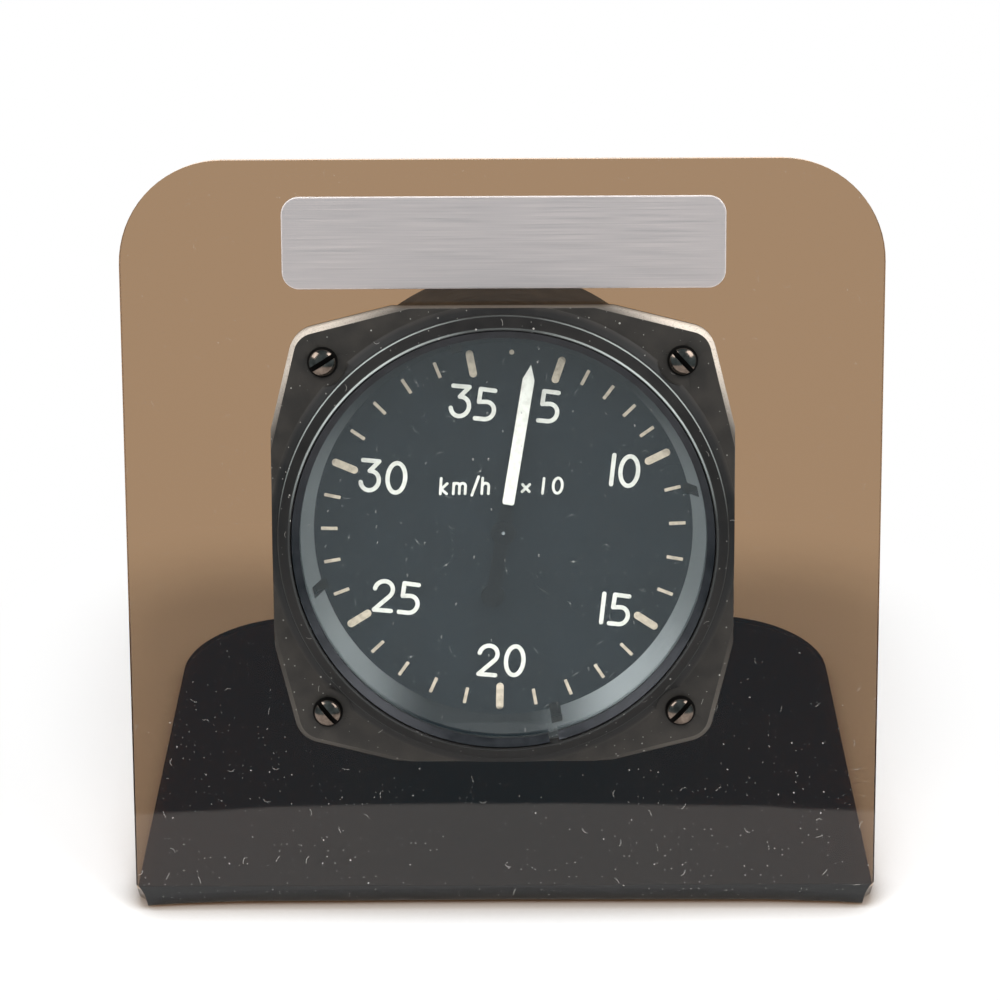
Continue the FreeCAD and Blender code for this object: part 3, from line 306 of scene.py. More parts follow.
def hairs(tree, place, cell, share, length, width):
    """1 on scattered bent hairs, drawn in the x-y plane of place. All sizes are in metres."""
    cells = add(tree, "ShaderNodeTexVoronoi", {"Vector": place, "Scale": 1 / cell},
                voronoi_dimensions="2D")
    chosen = add(tree, "ShaderNodeSeparateColor", {0: cells.outputs["Color"]})
    local = add(tree, "ShaderNodeVectorMath", {0: place, 1: cells.outputs["Position"]},
                operation="SUBTRACT").outputs[0]
    angle = add(tree, "ShaderNodeMath", {0: chosen.outputs[1], 1: 6.28},
                operation="MULTIPLY").outputs[0]
    local = add(tree, "ShaderNodeVectorRotate", {"Vector": local, "Angle": angle},
                rotation_type="Z_AXIS").outputs[0]
    local = add(tree, "ShaderNodeSeparateXYZ", {0: local}).outputs
    # Up to 0.3 of its length out of straight at its ends
    bend = add(tree, "ShaderNodeMath", {0: chosen.outputs[2], 1: 1.2 / length},
               operation="MULTIPLY").outputs[0]
    arc = add(tree, "ShaderNodeMath", {0: local["X"], 1: local["X"]},
              operation="MULTIPLY").outputs[0]
    arc = add(tree, "ShaderNodeMath", {0: arc, 1: bend}, operation="MULTIPLY").outputs[0]
    aside = add(tree, "ShaderNodeMath", {0: local["Y"], 1: arc}, operation="SUBTRACT").outputs[0]
    kept = add(tree, "ShaderNodeMath", {0: chosen.outputs[0], 1: share},
               operation="LESS_THAN").outputs[0]
    for value, limit in ((aside, width / 2), (local["X"], length / 2)):
        near = add(tree, "ShaderNodeMath", {0: value}, operation="ABSOLUTE").outputs[0]
        near = add(tree, "ShaderNodeMath", {0: near, 1: limit}, operation="LESS_THAN").outputs[0]
        kept = add(tree, "ShaderNodeMath", {0: kept, 1: near}, operation="MULTIPLY").outputs[0]
    return kept


def dusted(tree, surface, parts):
    """Pale lint over a surface. parts are pairs of a mask and its strength."""
    cover = 0.0
    for mask, strength in parts:
        mask = add(tree, "ShaderNodeMath", {0: mask, 1: strength}, operation="MULTIPLY").outputs[0]
        cover = add(tree, "ShaderNodeMath", {0: mask, 1: cover}, operation="MAXIMUM").outputs[0]
    lint = add(tree, "ShaderNodeBsdfDiffuse", {"Color": linear("#C9C6C0")}).outputs[0]
    return add(tree, "ShaderNodeMixShader", {0: cover, 1: surface, 2: lint}).outputs[0]


def clear_shader(tree, tint, ior):
    """Clear plastic or glass. Light from the lamps passes straight through each face."""
    body = add(tree, "ShaderNodeBsdfPrincipled",
               {"Base Color": tint, "Roughness": 0.0, "IOR": ior,
                "Transmission Weight": 1.0}).outputs[0]
    passing = add(tree, "ShaderNodeBsdfTransparent", {"Color": linear("#FAFAFA")}).outputs[0]
    shadow = add(tree, "ShaderNodeLightPath").outputs["Is Shadow Ray"]
    return add(tree, "ShaderNodeMixShader", {0: shadow, 1: body, 2: passing}).outputs[0]


# Cast acrylic, smoke brown: glossy, shows the table in bronze, and almost black through two sheets.
# The dye absorbs along the light's path: 3 mm lets 27, 17 and 10 % of red, green and blue through.
acrylic, t = new_material("smoked_cast_acrylic")
place = add(t, "ShaderNodeTexCoord").outputs["Object"]
clear = clear_shader(t, linear("#FFFFFF"), 1.49)
# Dust and lint on the front face, thicker towards the fold: specks up to 0.3 mm across and hairs
flat = instrument_axes(t, place)
spot = add(t, "ShaderNodeSeparateXYZ", {0: flat}).outputs
thick = add(t, "ShaderNodeMapRange", {0: spot["Y"], 1: -0.065, 2: -0.005, 3: 0.70,
                                      4: 0.12}).outputs[0]
front = add(t, "ShaderNodeMath", {0: spot["Z"], 1: -0.0005}, operation="GREATER_THAN").outputs[0]
thick = add(t, "ShaderNodeMath", {0: thick, 1: front}, operation="MULTIPLY").outputs[0]
thin = add(t, "ShaderNodeMath", {0: thick, 1: 0.6}, operation="MULTIPLY").outputs[0]
# The panel's cut edges, at its sides and its top, get a painted amber glow that fades low down
normal = add(t, "ShaderNodeTexCoord").outputs["Normal"]
aside = add(t, "ShaderNodeMath", {0: add(t, "ShaderNodeSeparateXYZ", {0: normal}).outputs["X"]},
            operation="ABSOLUTE").outputs[0]
rise = add(t, "ShaderNodeVectorMath", {0: normal, 1: instrument.col[1].xyz},
           operation="DOT_PRODUCT").outputs["Value"]
cut = add(t, "ShaderNodeMath", {0: aside, 1: rise}, operation="MAXIMUM").outputs[0]
cut = add(t, "ShaderNodeMapRange", {0: cut, 1: 0.35, 2: 0.6, 3: 0, 4: 0.4}).outputs[0]
high = add(t, "ShaderNodeMapRange", {0: spot["Y"], 1: -0.065, 2: -0.020, 3: 0.1, 4: 1},
           interpolation_type="SMOOTHSTEP").outputs[0]
cut = add(t, "ShaderNodeMath", {0: cut, 1: high}, operation="MULTIPLY").outputs[0]
in_panel = add(t, "ShaderNodeMath", {0: spot["Z"], 1: -0.0035},
               operation="GREATER_THAN").outputs[0]
cut = add(t, "ShaderNodeMath", {0: cut, 1: in_panel}, operation="MULTIPLY").outputs[0]
painted_edge_glow = add(t, "ShaderNodeBsdfDiffuse", {"Color": linear("#F0B878")}).outputs[0]
clear = add(t, "ShaderNodeMixShader", {0: cut, 1: clear, 2: painted_edge_glow}).outputs[0]
finish(t, dusted(t, clear, (
    (specks(t, flat, 0.0013, 0.50, 0.00011), thin),
    (specks(t, flat, 0.0045, 0.50, 0.00016), thick),
    (hairs(t, flat, 0.0065, 0.40, 0.0013, 0.00012), thin))))
dye = add(t, "ShaderNodeVolumeAbsorption", {"Color": (0.460, 0.269, 0.031, 1), "Density": 800.0})
t.links.new(dye.outputs[0], t.nodes["Material Output"].inputs["Volume"])
refine("display_stand", "case", acrylic, 0.0002, 35)

# Name plate: 1 mm aluminium, brushed along its length, with a bright milled edge, left bare.
# A thin pad of adhesive foam holds it to the panel.


def local_box(node):
    """The lowest and highest corner of a CAD node in the instrument's own axes."""
    back = instrument.inverted()
    points = [back @ v.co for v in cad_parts[node].data.vertices]
    return [[pick(p[k] for p in points) for k in range(3)] for pick in (min, max)]


def select_edges(piece, wanted):
    """Selects the edges whose two ends pass wanted(a, b), and goes to edit mode."""
    select_only(piece)
    scene.tool_settings.mesh_select_mode = (False, True, False)
    mesh = piece.data
    mesh.vertices.foreach_set("select", [False] * len(mesh.vertices))
    mesh.polygons.foreach_set("select", [False] * len(mesh.polygons))
    ends = [[mesh.vertices[i].co for i in edge.vertices] for edge in mesh.edges]
    mesh.edges.foreach_set("select", [bool(wanted(a, b)) for a, b in ends])
    bpy.ops.object.mode_set(mode="EDIT")


def place_piece(piece, name, node, body, material, angle=30):
    """Moves a piece made in the instrument's own axes to its place, where it stands for a node."""
    select_only(piece)
    piece.name = name
    piece.matrix_world = instrument @ piece.matrix_world
    bpy.ops.object.transform_apply(location=True, rotation=True, scale=True)
    shade(piece, angle)
    dress(piece, material)
    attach(piece, body)
    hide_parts(node)


# Brushed aluminium: pale satin with fine straight scratches along it. The real ones are 0.05 mm
# apart and don't show, so they are drawn 0.2 mm apart.
brushed, t = new_material("brushed_aluminium")
place = instrument_axes(t, add(t, "ShaderNodeTexCoord").outputs["Object"])
streaks = add(t, "ShaderNodeMapping", {0: place, "Scale": (0.010, 1, 1)}).outputs[0]
streaks = add(t, "ShaderNodeTexNoise", {"Vector": streaks, "Scale": 1 / 0.00020,
                                        "Detail": 3.0}).outputs[0]
ramp = add(t, "ShaderNodeValToRGB", {0: streaks})
ramp.color_ramp.elements[0].position, ramp.color_ramp.elements[1].position = 0.3, 0.7
ramp.color_ramp.elements[0].color = linear("#D4C3BD")
ramp.color_ramp.elements[1].color = linear("#E2D2CC")
rough = add(t, "ShaderNodeMapRange", {0: streaks, 1: 0.3, 2: 0.7, 3: 0.52, 4: 0.66}).outputs[0]
bump = add(t, "ShaderNodeBump", {"Height": streaks, "Distance": 0.00003,
                                 "Strength": 0.6}).outputs[0]
face = add(t, "ShaderNodeBsdfPrincipled",
           {"Base Color": ramp.outputs[0], "Metallic": 1.0, "Roughness": rough,
            "Normal": bump}).outputs[0]
# The milled bevel round it is bright and scatters the light
level = add(t, "ShaderNodeVectorMath", {0: add(t, "ShaderNodeTexCoord").outputs["Normal"],
                                        1: instrument.col[2].xyz}, operation="DOT_PRODUCT")
bevel = add(t, "ShaderNodeMapRange", {0: level.outputs["Value"], 1: 0.90, 2: 0.97, 3: 0.8,
                                      4: 0}).outputs[0]
milled = add(t, "ShaderNodeBsdfDiffuse", {"Color": linear("#EDE8E6")}).outputs[0]
finish(t, add(t, "ShaderNodeMixShader", {0: bevel, 1: face, 2: milled}).outputs[0])

corner_r, edge_width = 0.0032, 0.00035
low, high = local_box("nameplate")
bpy.ops.mesh.primitive_cube_add(size=1, location=[(a + b) / 2 for a, b in zip(low, high)],
                                scale=[b - a for a, b in zip(low, high)])
plate = bpy.context.object
bpy.ops.object.transform_apply(location=True, rotation=True, scale=True)
select_edges(plate, lambda a, b: abs(a.z - b.z) > 0.0005)
bpy.ops.mesh.bevel(offset=corner_r, segments=12)
select_edges(plate, lambda a, b: min(a.z, b.z) > high[2] - 1e-6)
bpy.ops.mesh.bevel(offset=edge_width, segments=2)
place_piece(plate, "name_plate", "nameplate", "case", brushed)


def matt(name, dark, pale, roughness, grain, detail, gloss=0.5):
    """A dull non-metal whose tone drifts over grain metres."""
    material, tree = new_material(name)
    place = add(tree, "ShaderNodeTexCoord").outputs["Object"]
    drift = add(tree, "ShaderNodeTexNoise", {"Vector": place, "Scale": 1 / grain,
                                             "Detail": detail}).outputs[0]
    tone = add(tree, "ShaderNodeValToRGB", {0: drift})
    tone.color_ramp.elements[0].color = linear(dark)
    tone.color_ramp.elements[1].color = linear(pale)
    finish(tree, add(tree, "ShaderNodeBsdfPrincipled",
                     {"Base Color": tone.outputs[0], "Roughness": roughness,
                      "Specular IOR Level": gloss}).outputs[0])
    return material


# Foam pad: cream, dull, with cells of 0.6 mm
adhesive = matt("adhesive_foam", "#B9B2A4", "#D8D2C6", 0.8, 0.0006, 2.0)
refine("nameplate_pad", "case", adhesive)

# Case: can, square flange and bezel ring moulded in one from black phenolic, filled with fine
# fibre. Its front ears have a bevel worn pale by handling, with painted highlight that makes it
# brightest at the top.
phenolic, t = new_material("moulded_phenolic")
coordinate = add(t, "ShaderNodeTexCoord").outputs
place = instrument_axes(t, coordinate["Object"])
facing = add(t, "ShaderNodeVectorRotate", {"Vector": coordinate["Normal"],
                                           "Rotation": instrument.inverted().to_euler()},
             rotation_type="EULER_XYZ").outputs[0]
facing = add(t, "ShaderNodeSeparateXYZ", {0: facing}).outputs
spot = add(t, "ShaderNodeSeparateXYZ", {0: place}).outputs
# Moulded phenolic: a brown-black satin skin, cloudy at 4 mm, with fibre flecks of about 0.3 mm
clouds = add(t, "ShaderNodeTexNoise", {"Vector": place, "Scale": 1 / 0.004,
                                       "Detail": 4.0}).outputs[0]
flecks = add(t, "ShaderNodeTexNoise", {"Vector": place, "Scale": 1 / 0.0003,
                                       "Detail": 2.0}).outputs[0]
skin = add(t, "ShaderNodeValToRGB", {0: clouds})
skin.color_ramp.elements[0].position, skin.color_ramp.elements[1].position = 0.35, 0.7
skin.color_ramp.elements[0].color = linear("#292623")
skin.color_ramp.elements[1].color = linear("#34302C")
# Worn pale, with painted highlight: the ears' bevel and sides, from 1 mm above the panel up to the
# front face, painted brightest at the top, where the lamps light it, and a little paler to the
# right.
# Each row is what is measured, where the wear and highlight start and end to change, and its
# strength there.
rim = add(t, "ShaderNodeVectorMath", {0: place, 1: (1, 1, 0)}, operation="MULTIPLY").outputs[0]
rim = add(t, "ShaderNodeVectorMath", {0: rim}, operation="LENGTH").outputs["Value"]
wear_and_painted_highlight = 1.0
for value, start, end, first, last in (
        (facing["Z"], 0.93, 0.98, 1, 0), (facing["Z"], -0.3, -0.1, 0, 1),
        (spot["Z"], 0.0008, 0.0016, 0, 1), (spot["Z"], 0.0050, 0.00503, 1, 0),
        (spot["Y"], -0.012, 0.022, 0.09, 1), (spot["X"], -0.03, 0.03, 0.75, 1),
        (rim, 0.0462, 0.0505, 0.12, 1), (flecks, 0.3, 0.5, 0.7, 1)):
    part = add(t, "ShaderNodeMapRange", {0: value, 1: start, 2: end, 3: first, 4: last}).outputs[0]
    wear_and_painted_highlight = add(t, "ShaderNodeMath", {0: wear_and_painted_highlight, 1: part}, operation="MULTIPLY").outputs[0]
# Painted highlights: the ring's shoulder and lip, 0.3 mm wide, painted bright and glossy at the
# upper left and right, where the lamps glint on them
shoulder, lip = (0.04135, 0.00715), (0.03925, 0.00955)
painted_ring_highlight = 0.0
for radius, height in (shoulder, lip):
    near = add(t, "ShaderNodeCombineXYZ", {0: rim, 1: spot["Z"]}).outputs[0]
    near = add(t, "ShaderNodeVectorMath", {0: near, 1: (radius, height, 0)},
               operation="DISTANCE").outputs["Value"]
    near = add(t, "ShaderNodeMapRange", {0: near, 1: 0.00014, 2: 0.00028, 3: 1, 4: 0}).outputs[0]
    painted_ring_highlight = add(t, "ShaderNodeMath", {0: near, 1: painted_ring_highlight}, operation="MAXIMUM").outputs[0]
side = add(t, "ShaderNodeMath", {0: spot["X"]}, operation="ABSOLUTE").outputs[0]
for value, start, end, first, last in ((spot["Y"], 0.004, 0.024, 0.06, 1),
                                       (side, 0.006, 0.022, 0.12, 1)):
    part = add(t, "ShaderNodeMapRange", {0: value, 1: start, 2: end, 3: first, 4: last}).outputs[0]
    painted_ring_highlight = add(t, "ShaderNodeMath", {0: painted_ring_highlight, 1: part}, operation="MULTIPLY").outputs[0]
# Painted shade: the raised ring is painted darker than the flange, to keep its lamp-facing slopes
# dark
painted_ring_shade = add(t, "ShaderNodeMapRange", {0: spot["Z"], 1: 0.0050, 2: 0.0056, 3: 0,
                                       4: 0.65}).outputs[0]
skin = add(t, "ShaderNodeMix", {"Factor": painted_ring_shade, 6: skin.outputs[0], 7: linear("#0E0F11")},
           data_type="RGBA").outputs[2]
colour = add(t, "ShaderNodeMix", {"Factor": wear_and_painted_highlight, 6: skin, 7: linear("#D9CDBF")},
             data_type="RGBA").outputs[2]
partly = add(t, "ShaderNodeMath", {0: painted_ring_highlight, 1: 0.6}, operation="MULTIPLY").outputs[0]
colour = add(t, "ShaderNodeMix", {"Factor": partly, 6: colour, 7: linear("#C9D2CE")},
             data_type="RGBA").outputs[2]
gloss = add(t, "ShaderNodeMapRange", {0: painted_ring_highlight, 3: 0.18, 4: 0.5}).outputs[0]
rough = add(t, "ShaderNodeMapRange", {0: clouds, 1: 0.3, 2: 0.7, 3: 0.42, 4: 0.55}).outputs[0]
bump = add(t, "ShaderNodeBump", {"Height": flecks, "Distance": 0.00002, "Strength": 0.4}).outputs[0]
surface = add(t, "ShaderNodeBsdfPrincipled",
              {"Base Color": colour, "Roughness": rough, "IOR": 1.6,
               "Specular IOR Level": gloss, "Normal": bump}).outputs[0]
# Dust lies on what faces forwards
forward = add(t, "ShaderNodeMapRange", {0: facing["Z"], 1: 0.3, 2: 0.5, 3: 0, 4: 0.5}).outputs[0]
thin = add(t, "ShaderNodeMath", {0: forward, 1: 0.55}, operation="MULTIPLY").outputs[0]
finish(t, dusted(t, surface, (
    (specks(t, place, 0.0017, 0.30, 0.00015), thin),
    (specks(t, place, 0.0050, 0.35, 0.00020), forward),
    (hairs(t, place, 0.0060, 0.35, 0.0011, 0.00010), thin))))
refine("case_body", "case", phenolic, 0.00012)

# Mounting: four M3 cheese-head screws of blackened steel, with domed and slotted heads, go
# through the ears and the panel to washers and nuts behind it.


def metal(name, dark, pale, roughness, grain, grime_and_painted_shade_below=None):
    """Turned or rolled metal: its tone and gloss drift over grain metres, with fine tool marks.
    If a height above the panel is given, all below it is painted dark and dull: grime, and painted
    shade in the hollows."""
    material, tree = new_material(name)
    place = add(tree, "ShaderNodeTexCoord").outputs["Object"]
    drift = add(tree, "ShaderNodeTexNoise", {"Vector": place, "Scale": 1 / grain,
                                             "Detail": 3.0}).outputs[0]
    tone = add(tree, "ShaderNodeValToRGB", {0: drift})
    tone.color_ramp.elements[0].position, tone.color_ramp.elements[1].position = 0.3, 0.7
    tone.color_ramp.elements[0].color = linear(dark)
    tone.color_ramp.elements[1].color = linear(pale)
    gloss = add(tree, "ShaderNodeMapRange", {0: drift, 1: 0.3, 2: 0.7, 3: roughness * 0.8,
                                             4: roughness * 1.25}).outputs[0]
    tone = tone.outputs[0]
    if grime_and_painted_shade_below:
        height = add(tree, "ShaderNodeSeparateXYZ", {0: instrument_axes(tree, place)}).outputs["Z"]
        low = add(tree, "ShaderNodeMapRange", {0: height, 1: grime_and_painted_shade_below - 0.0001, 2: grime_and_painted_shade_below + 0.0001,
                                               3: 1, 4: 0}).outputs[0]
        tone = add(tree, "ShaderNodeMix", {"Factor": low, 6: tone, 7: linear("#262321")},
                   data_type="RGBA").outputs[2]
        gloss = add(tree, "ShaderNodeMath", {0: gloss, 1: low}, operation="MAXIMUM").outputs[0]
    marks = add(tree, "ShaderNodeTexNoise", {"Vector": place, "Scale": 1 / 0.00015}).outputs[0]
    bump = add(tree, "ShaderNodeBump", {"Height": marks, "Distance": 0.000005,
                                        "Strength": 0.5}).outputs[0]
    finish(tree, add(tree, "ShaderNodeBsdfPrincipled",
                     {"Base Color": tone, "Metallic": 1.0, "Roughness": gloss,
                      "Normal": bump}).outputs[0])
    return material


# Blackened steel: a thin dark oxide over bright metal, rubbed a little on the heads
blackened = metal("blackened_steel", "#4E443D", "#786B61", 0.16, 0.0012)
# Zinc plate: pale grey with a soft shine. Ground steel: whiter and sharper.
zinc = metal("zinc_plated_steel", "#9A9C9E", "#BFC1C4", 0.34, 0.003)
steel = metal("ground_steel", "#8E9094", "#B4B6BA", 0.25, 0.002)
# Brass is yellow, nickel plate over it a warm silver, and phosphor bronze a redder yellow
brass = metal("rolled_brass", "#A88648", "#C6A663", 0.32, 0.004)
nickel = metal("nickel_plated_brass", "#A6A196", "#C4C0B4", 0.27, 0.004)
bronze = metal("phosphor_bronze", "#9A6E48", "#B98A5E", 0.33, 0.002)


def turned_ring(rings, sides):
    """A turned piece about the z axis through (0, 0): rings are its (radius, height) steps."""
    if bpy.context.mode != "OBJECT":
        bpy.ops.object.mode_set(mode="OBJECT")
    bpy.ops.object.select_all(action="DESELECT")
    r0, z0 = rings[0]
    bpy.ops.mesh.primitive_circle_add(vertices=sides, radius=r0, location=(0, 0, z0))
    piece = bpy.context.object
    bpy.ops.object.mode_set(mode="EDIT")
    for r, z in rings[1:]:
        bpy.ops.mesh.extrude_edges_move(TRANSFORM_OT_translate={"value": (0, 0, z - z0)})
        bpy.ops.transform.resize(value=(r / r0, r / r0, 1), center_override=(0, 0, z))
        r0, z0 = r, z
    bpy.ops.mesh.select_all(action="SELECT")
    bpy.ops.mesh.remove_doubles(threshold=1e-6)
    bpy.ops.mesh.normals_make_consistent(inside=False)
    bpy.ops.object.mode_set(mode="OBJECT")
    bpy.ops.object.transform_apply(location=True, rotation=True, scale=True)
    return piece


head_r, head_side, head_h, shank_r = 0.0028, 0.0005, 0.0021, 0.0015
chamfer, edge = 0.0003, 0.0001
slot_w, slot_depth = 0.0009, 0.00095
face, tip = 0.005, local_box("mounting_screws")[0][2]
dome = [(head_r * math.cos(a), face + head_side + (head_h - head_side) * math.sin(a))
        for a in (math.radians(10 * k) for k in range(9))]
# The profile starts and ends this near the axis, where merging closes it
point = 0.00001
profile = [(point, tip), (shank_r - chamfer, tip), (shank_r, tip + chamfer), (shank_r, face),
           (head_r - edge, face), (head_r, face + edge)] + dome + [(point, face + head_h)]
screw = turned_ring(profile, 48)
bpy.ops.mesh.primitive_cube_add(size=1, location=(0, 0, face + head_h),
                                scale=(0.008, slot_w, 2 * slot_depth))
slot_cutter = bpy.context.object
select_only(screw)
cut = screw.modifiers.new("slot", "BOOLEAN")
cut.object = slot_cutter
cut.operation = "DIFFERENCE"
bpy.ops.object.modifier_apply(modifier="slot")
bpy.data.objects.remove(slot_cutter)
rounding = screw.modifiers.new("rounding", "BEVEL")
rounding.width = 0.00007
rounding.limit_method = "ANGLE"
rounding.angle_limit = math.radians(40)
bpy.ops.object.modifier_apply(modifier="rounding")
# The holes' distance from the axis, across and up, and each slot's turn in degrees as it stands
hole_reach = 0.03275
slot_turns = {(-1, 1): 32, (1, 1): -47, (-1, -1): -50, (1, -1): 47}
# Grime, and painted shade, darken the slots and the foot of each head
head_metal = metal("blackened_screw_steel", "#4E443D", "#786B61", 0.16, 0.0012, grime_and_painted_shade_below=0.00635)
for number, ((x, y), slot_turn) in enumerate(slot_turns.items()):
    each = screw.copy()
    each.data = screw.data.copy()
    scene.collection.objects.link(each)
    each.matrix_world = (Matrix.Translation((x * hole_reach, y * hole_reach, 0))
                         @ Matrix.Rotation(math.radians(slot_turn), 4, "Z"))
    place_piece(each, f"mounting_screw_{number + 1}", "mounting_screws", "case", head_metal, 35)
bpy.data.objects.remove(screw)
refine("mounting_washers", "case", zinc, 0.00006)
refine("mounting_nuts", "case", zinc, 0.00012)

# Pressure connections: two turned hose nipples, pitot and static, sealed by fibre washers and
# held in the case's rear wall by nuts inside it.
# Vulcanised fibre: dull red-brown, mottled by its pulp
fibre = matt("vulcanised_fibre", "#5A2A1E", "#82402C", 0.6, 0.0005, 4.0)
refine("port_seals", "case", fibre, 0.0001)
for node in ("pitot_port", "static_port"):
    refine(node, "case", nickel, 0.0001)
refine("port_nuts", "case", nickel, 0.00012)

# Movement frame: two blanked brass plates on turned pillars, screwed to the ledge in the case.
for node in ("rear_plate", "frame_pillars", "shaft_bearings"):
    refine(node, "case", brass, 0.00008)
# The front plate is painted dark as painted shade, so that nothing bright shows through the cone
# ring's notches
notch_shade_brass = metal("shade_darkened_brass", "#161412", "#2A2622", 0.5, 0.004)
refine("front_plate", "case", notch_shade_brass, 0.00008)
for node in ("front_pillar_screws", "rear_pillar_screws"):
    refine(node, "case", steel, 0.00005)
refine("ledge_screws", "case", blackened, 0.00005)

# Gear train: brass sector and weight on a steel arbor drive the pointer's steel pinion,
# and a flat bronze hairspring takes up the play.
refine("sector_gear", "sector", brass, 0.00003)
refine("sector_weight", "sector", brass, 0.00008)
for node in ("sector_arbor", "sector_tail"):
    refine(node, "sector", steel, 0.00004)
for node in ("pinion", "pointer_arbor"):
    refine(node, "pointer", steel, 0.00003)
refine("hairspring_collet", "pointer", brass, 0.00005)
refine("hairspring", "case", bronze)
refine("hairspring_stud", "case", brass, 0.00005)

# Rocking shaft: steel, between the brass lugs. The capsule's lift turns it through link and arm,
# and its drive arm pushes the sector's tail.
for node in ("rocking_shaft", "link_arm", "drive_arm"):
    refine(node, "rocker", steel, 0.00005)
refine("link_rod", "link", steel, 0.00004)

# Capsule: two corrugated bronze discs soldered at the rim, on a post held by the bridge behind it.
# A copper capillary feeds it from the pitot nipple.
refine("capsule_front", "capsule", bronze)
refine("capsule_stem", "capsule", brass, 0.00006)
refine("capsule_rear", "case", bronze)
# Drawn copper: soft pink-red, dulled by its oxide
copper = metal("drawn_copper", "#A2603F", "#C07C56", 0.3, 0.003)
refine("capillary_tube", "case", copper)
for node in ("capsule_post", "capsule_bridge", "bridge_pillars"):
    refine(node, "case", brass, 0.00008)
for node in ("bridge_screws", "post_nut"):
    refine(node, "case", steel, 0.00006)

# Dial: aluminium disc painted matt blue-black, with the scale, figures and unit printed in
# off-white. The scale counts tens of km/h.
# Matt enamel: blue-black, without a shine, slightly cloudy at 9 mm
dial_paint, t = new_material("matt_black_enamel")
place = instrument_axes(t, add(t, "ShaderNodeTexCoord").outputs["Object"])
clouds = add(t, "ShaderNodeTexNoise", {"Vector": place, "Scale": 1 / 0.009,
                                       "Detail": 5.0}).outputs[0]
tone = add(t, "ShaderNodeValToRGB", {0: clouds})
tone.color_ramp.elements[0].position, tone.color_ramp.elements[1].position = 0.35, 0.7
tone.color_ramp.elements[0].color = linear("#080F14")
tone.color_ramp.elements[1].color = linear("#0E161C")
surface = add(t, "ShaderNodeBsdfPrincipled", {"Base Color": tone.outputs[0], "Roughness": 0.7,
                                              "Specular IOR Level": 0.10}).outputs[0]
# Dust that settled under the glass: specks up to 0.35 mm across and a few hairs
finish(t, dusted(t, surface, (
    (specks(t, place, 0.0009, 0.50, 0.00009), 0.20),
    (specks(t, place, 0.0016, 0.40, 0.00015), 0.22),
    (specks(t, place, 0.0060, 0.35, 0.00018), 0.45),
    (hairs(t, place, 0.0060, 0.40, 0.0014, 0.00011), 0.22))))
refine("dial", "case", dial_paint, 0.00008)


def printed(name, dark, pale):
    """Thick dial paint: slightly uneven in tone over 1 mm."""
    material, tree = new_material(name)
    place = add(tree, "ShaderNodeTexCoord").outputs["Object"]
    coat = add(tree, "ShaderNodeTexNoise", {"Vector": place, "Scale": 1 / 0.001, "Detail": 3.0})
    tone = add(tree, "ShaderNodeValToRGB", {0: coat.outputs[0]})
    tone.color_ramp.elements[0].position, tone.color_ramp.elements[1].position = 0.3, 0.6
    tone.color_ramp.elements[0].color = linear(dark)
    tone.color_ramp.elements[1].color = linear(pale)
    bump = add(tree, "ShaderNodeBump", {"Height": coat.outputs[0], "Distance": 0.00002,
                                        "Strength": 0.5}).outputs[0]
    finish(tree, add(tree, "ShaderNodeBsdfPrincipled",
                     {"Base Color": tone.outputs[0], "Roughness": 0.55, "Normal": bump}).outputs[0])
    return material


# Zinc-white paint on figures and pointer; the scale's luminous paint has yellowed
white_paint = printed("zinc_white_paint", "#CFCBC4", "#E0DDD7")
aged_paint = printed("aged_luminous_paint", "#AF9F8D", "#CDBDAA")
refine("numerals", "case", white_paint)
refine("unit_legend", "case", white_paint)
refine("scale_marks", "case", aged_paint)

# Cone ring: turned aluminium, anodised satin black, slopes from the glass down to the dial.
# Four notches at its low end key it to the dial. The turning marks run round it.


def wrap_round(piece):
    """A UV map with u round the z axis, which turning marks and their sheen follow."""
    layer = piece.data.uv_layers.new(name="round")
    for polygon in piece.data.polygons:
        middle = math.atan2(polygon.center.y, polygon.center.x)
        for k in polygon.loop_indices:
            point = piece.data.vertices[piece.data.loops[k].vertex_index].co
            angle = math.atan2(point.y, point.x)
            angle += 2 * math.pi * round((middle - angle) / (2 * math.pi))
            layer.data[k].uv = (angle / (2 * math.pi), (point.z + point.xy.length) * 20)


# Satin black anodising over turned aluminium: dark, with a pale sheen drawn out round the ring
anodised, t = new_material("satin_black_anodised_aluminium")
across = add(t, "ShaderNodeUVMap", uv_map="round").outputs[0]
# Turning marks 0.08 mm apart, 600 to a step of the map (50 mm across), long round the ring
marks = add(t, "ShaderNodeMapping", {0: across, "Scale": (6, 600, 1)}).outputs[0]
marks = add(t, "ShaderNodeTexNoise", {"Vector": marks, "Scale": 1.0, "Detail": 2.0}).outputs[0]
tone = add(t, "ShaderNodeValToRGB", {0: marks})
tone.color_ramp.elements[0].color = linear("#83878A")
tone.color_ramp.elements[1].color = linear("#989B9E")
round_it = add(t, "ShaderNodeTangent", direction_type="UV_MAP", uv_map="round").outputs[0]
sheen = add(t, "ShaderNodeBsdfAnisotropic", {"Color": tone.outputs[0], "Roughness": 0.58,
                                             "Anisotropy": 0.62, "Tangent": round_it}).outputs[0]
dark = add(t, "ShaderNodeBsdfDiffuse", {"Color": linear("#0C0E10")}).outputs[0]
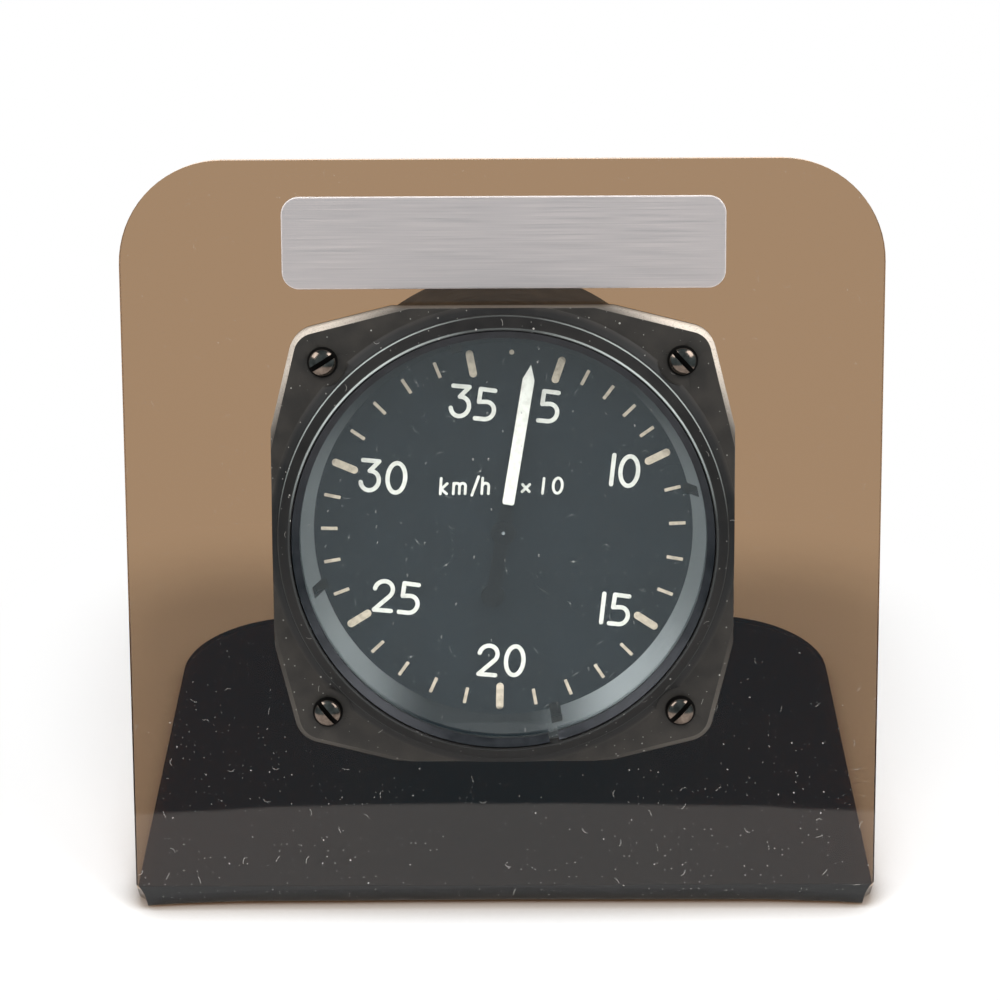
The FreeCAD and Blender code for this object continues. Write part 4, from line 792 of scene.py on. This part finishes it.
# Painted shade: the sheen is taken away over the top third, and towards a line 5 mm left of the
# middle at the bottom, so that it shows only at the lower left and right
place = instrument_axes(t, add(t, "ShaderNodeTexCoord").outputs["Object"])
spot = add(t, "ShaderNodeSeparateXYZ", {0: place}).outputs
share = add(t, "ShaderNodeMapRange", {0: spot["Y"], 1: 0.006, 2: 0.030, 3: 1, 4: 0.04},
            interpolation_type="SMOOTHSTEP").outputs[0]
aside = add(t, "ShaderNodeMath", {0: spot["X"], 1: 0.005}).outputs[0]
aside = add(t, "ShaderNodeMath", {0: aside}, operation="ABSOLUTE").outputs[0]
outside_painted_shade = add(t, "ShaderNodeMapRange", {0: aside, 1: 0.008, 2: 0.026, 3: 0.06, 4: 1},
            interpolation_type="SMOOTHSTEP").outputs[0]
share = add(t, "ShaderNodeMath", {0: share, 1: outside_painted_shade}, operation="MULTIPLY").outputs[0]
finish(t, add(t, "ShaderNodeMixShader", {0: share, 1: dark, 2: sheen}).outputs[0])
low_z, seat_z, top_z, wall, seat_step = -0.0031, 0.0040, 0.0046, 0.001, 0.0006
cone_low, cone_top, sleeve, seat = 0.0353, 0.0373, 0.03765, 0.0387
cone = turned_ring([(cone_low, low_z), (cone_low + wall, low_z), (sleeve, seat_z - seat_step),
                    (sleeve, seat_z), (seat, seat_z), (seat, top_z), (cone_top, top_z),
                    (cone_low, low_z)], 240)
notch_w, notch_across, notch_h, notch_low = 0.0021, 0.0029, 0.0065, 0.0008
notch_r = 0.03585
notch_turns = (77.2, 164.3, 253.2, 346.0)
for angle in notch_turns:
    bpy.ops.mesh.primitive_cube_add(size=1, scale=(notch_w, notch_across, notch_h),
                                    location=(0, notch_r, low_z - notch_low + notch_h / 2))
    cutter = bpy.context.object
    cutter.matrix_world = Matrix.Rotation(math.radians(-angle), 4, "Z") @ cutter.matrix_world
    select_only(cone)
    notch = cone.modifiers.new("notch", "BOOLEAN")
    notch.object = cutter
    notch.operation = "DIFFERENCE"
    bpy.ops.object.modifier_apply(modifier="notch")
    bpy.data.objects.remove(cutter)
wrap_round(cone)
place_piece(cone, "cone_sleeve", "cone_ring", "case", anodised, 30)

# Window: flat glass on a rubber gasket, held by a sprung wire ring with a gap.
# Float glass: clear, with the faintest green, polished, and with little dust on it
glass, t = new_material("polished_float_glass")
place = add(t, "ShaderNodeTexCoord").outputs["Object"]
clear = clear_shader(t, linear("#F7FBF9"), 1.52)
finish(t, dusted(t, clear, ((specks(t, instrument_axes(t, place), 0.0030, 0.30, 0.00014), 0.3),)))
refine("cover_glass", "case", glass, 0.0001)
# Rubber: dull black with a grey bloom
rubber = matt("black_rubber", "#161616", "#262625", 0.7, 0.001, 3.0)
refine("glass_gasket", "case", rubber)
# The ring is spring wire, blued and oiled: darker and duller than the screws
blued = metal("blued_spring_wire", "#3A3A3C", "#48484B", 0.45, 0.003)
refine("glass_retainer", "case", blued, 0.0001)

# Pointer: thin aluminium blade with a round counterweight, lacquered black, its forward part
# painted white. A brass hub pressed on the arbor carries it.
# Lacquer: black, with hardly a shine
lacquer = matt("semi_matt_black_lacquer", "#040506", "#07090B", 0.6, 0.0015, 4.0, gloss=0.06)
refine("pointer", "pointer", lacquer, 0.00006)
refine("pointer_hub", "pointer", lacquer, 0.00006)
refine("pointer_paint", "pointer", white_paint, 0.00003)
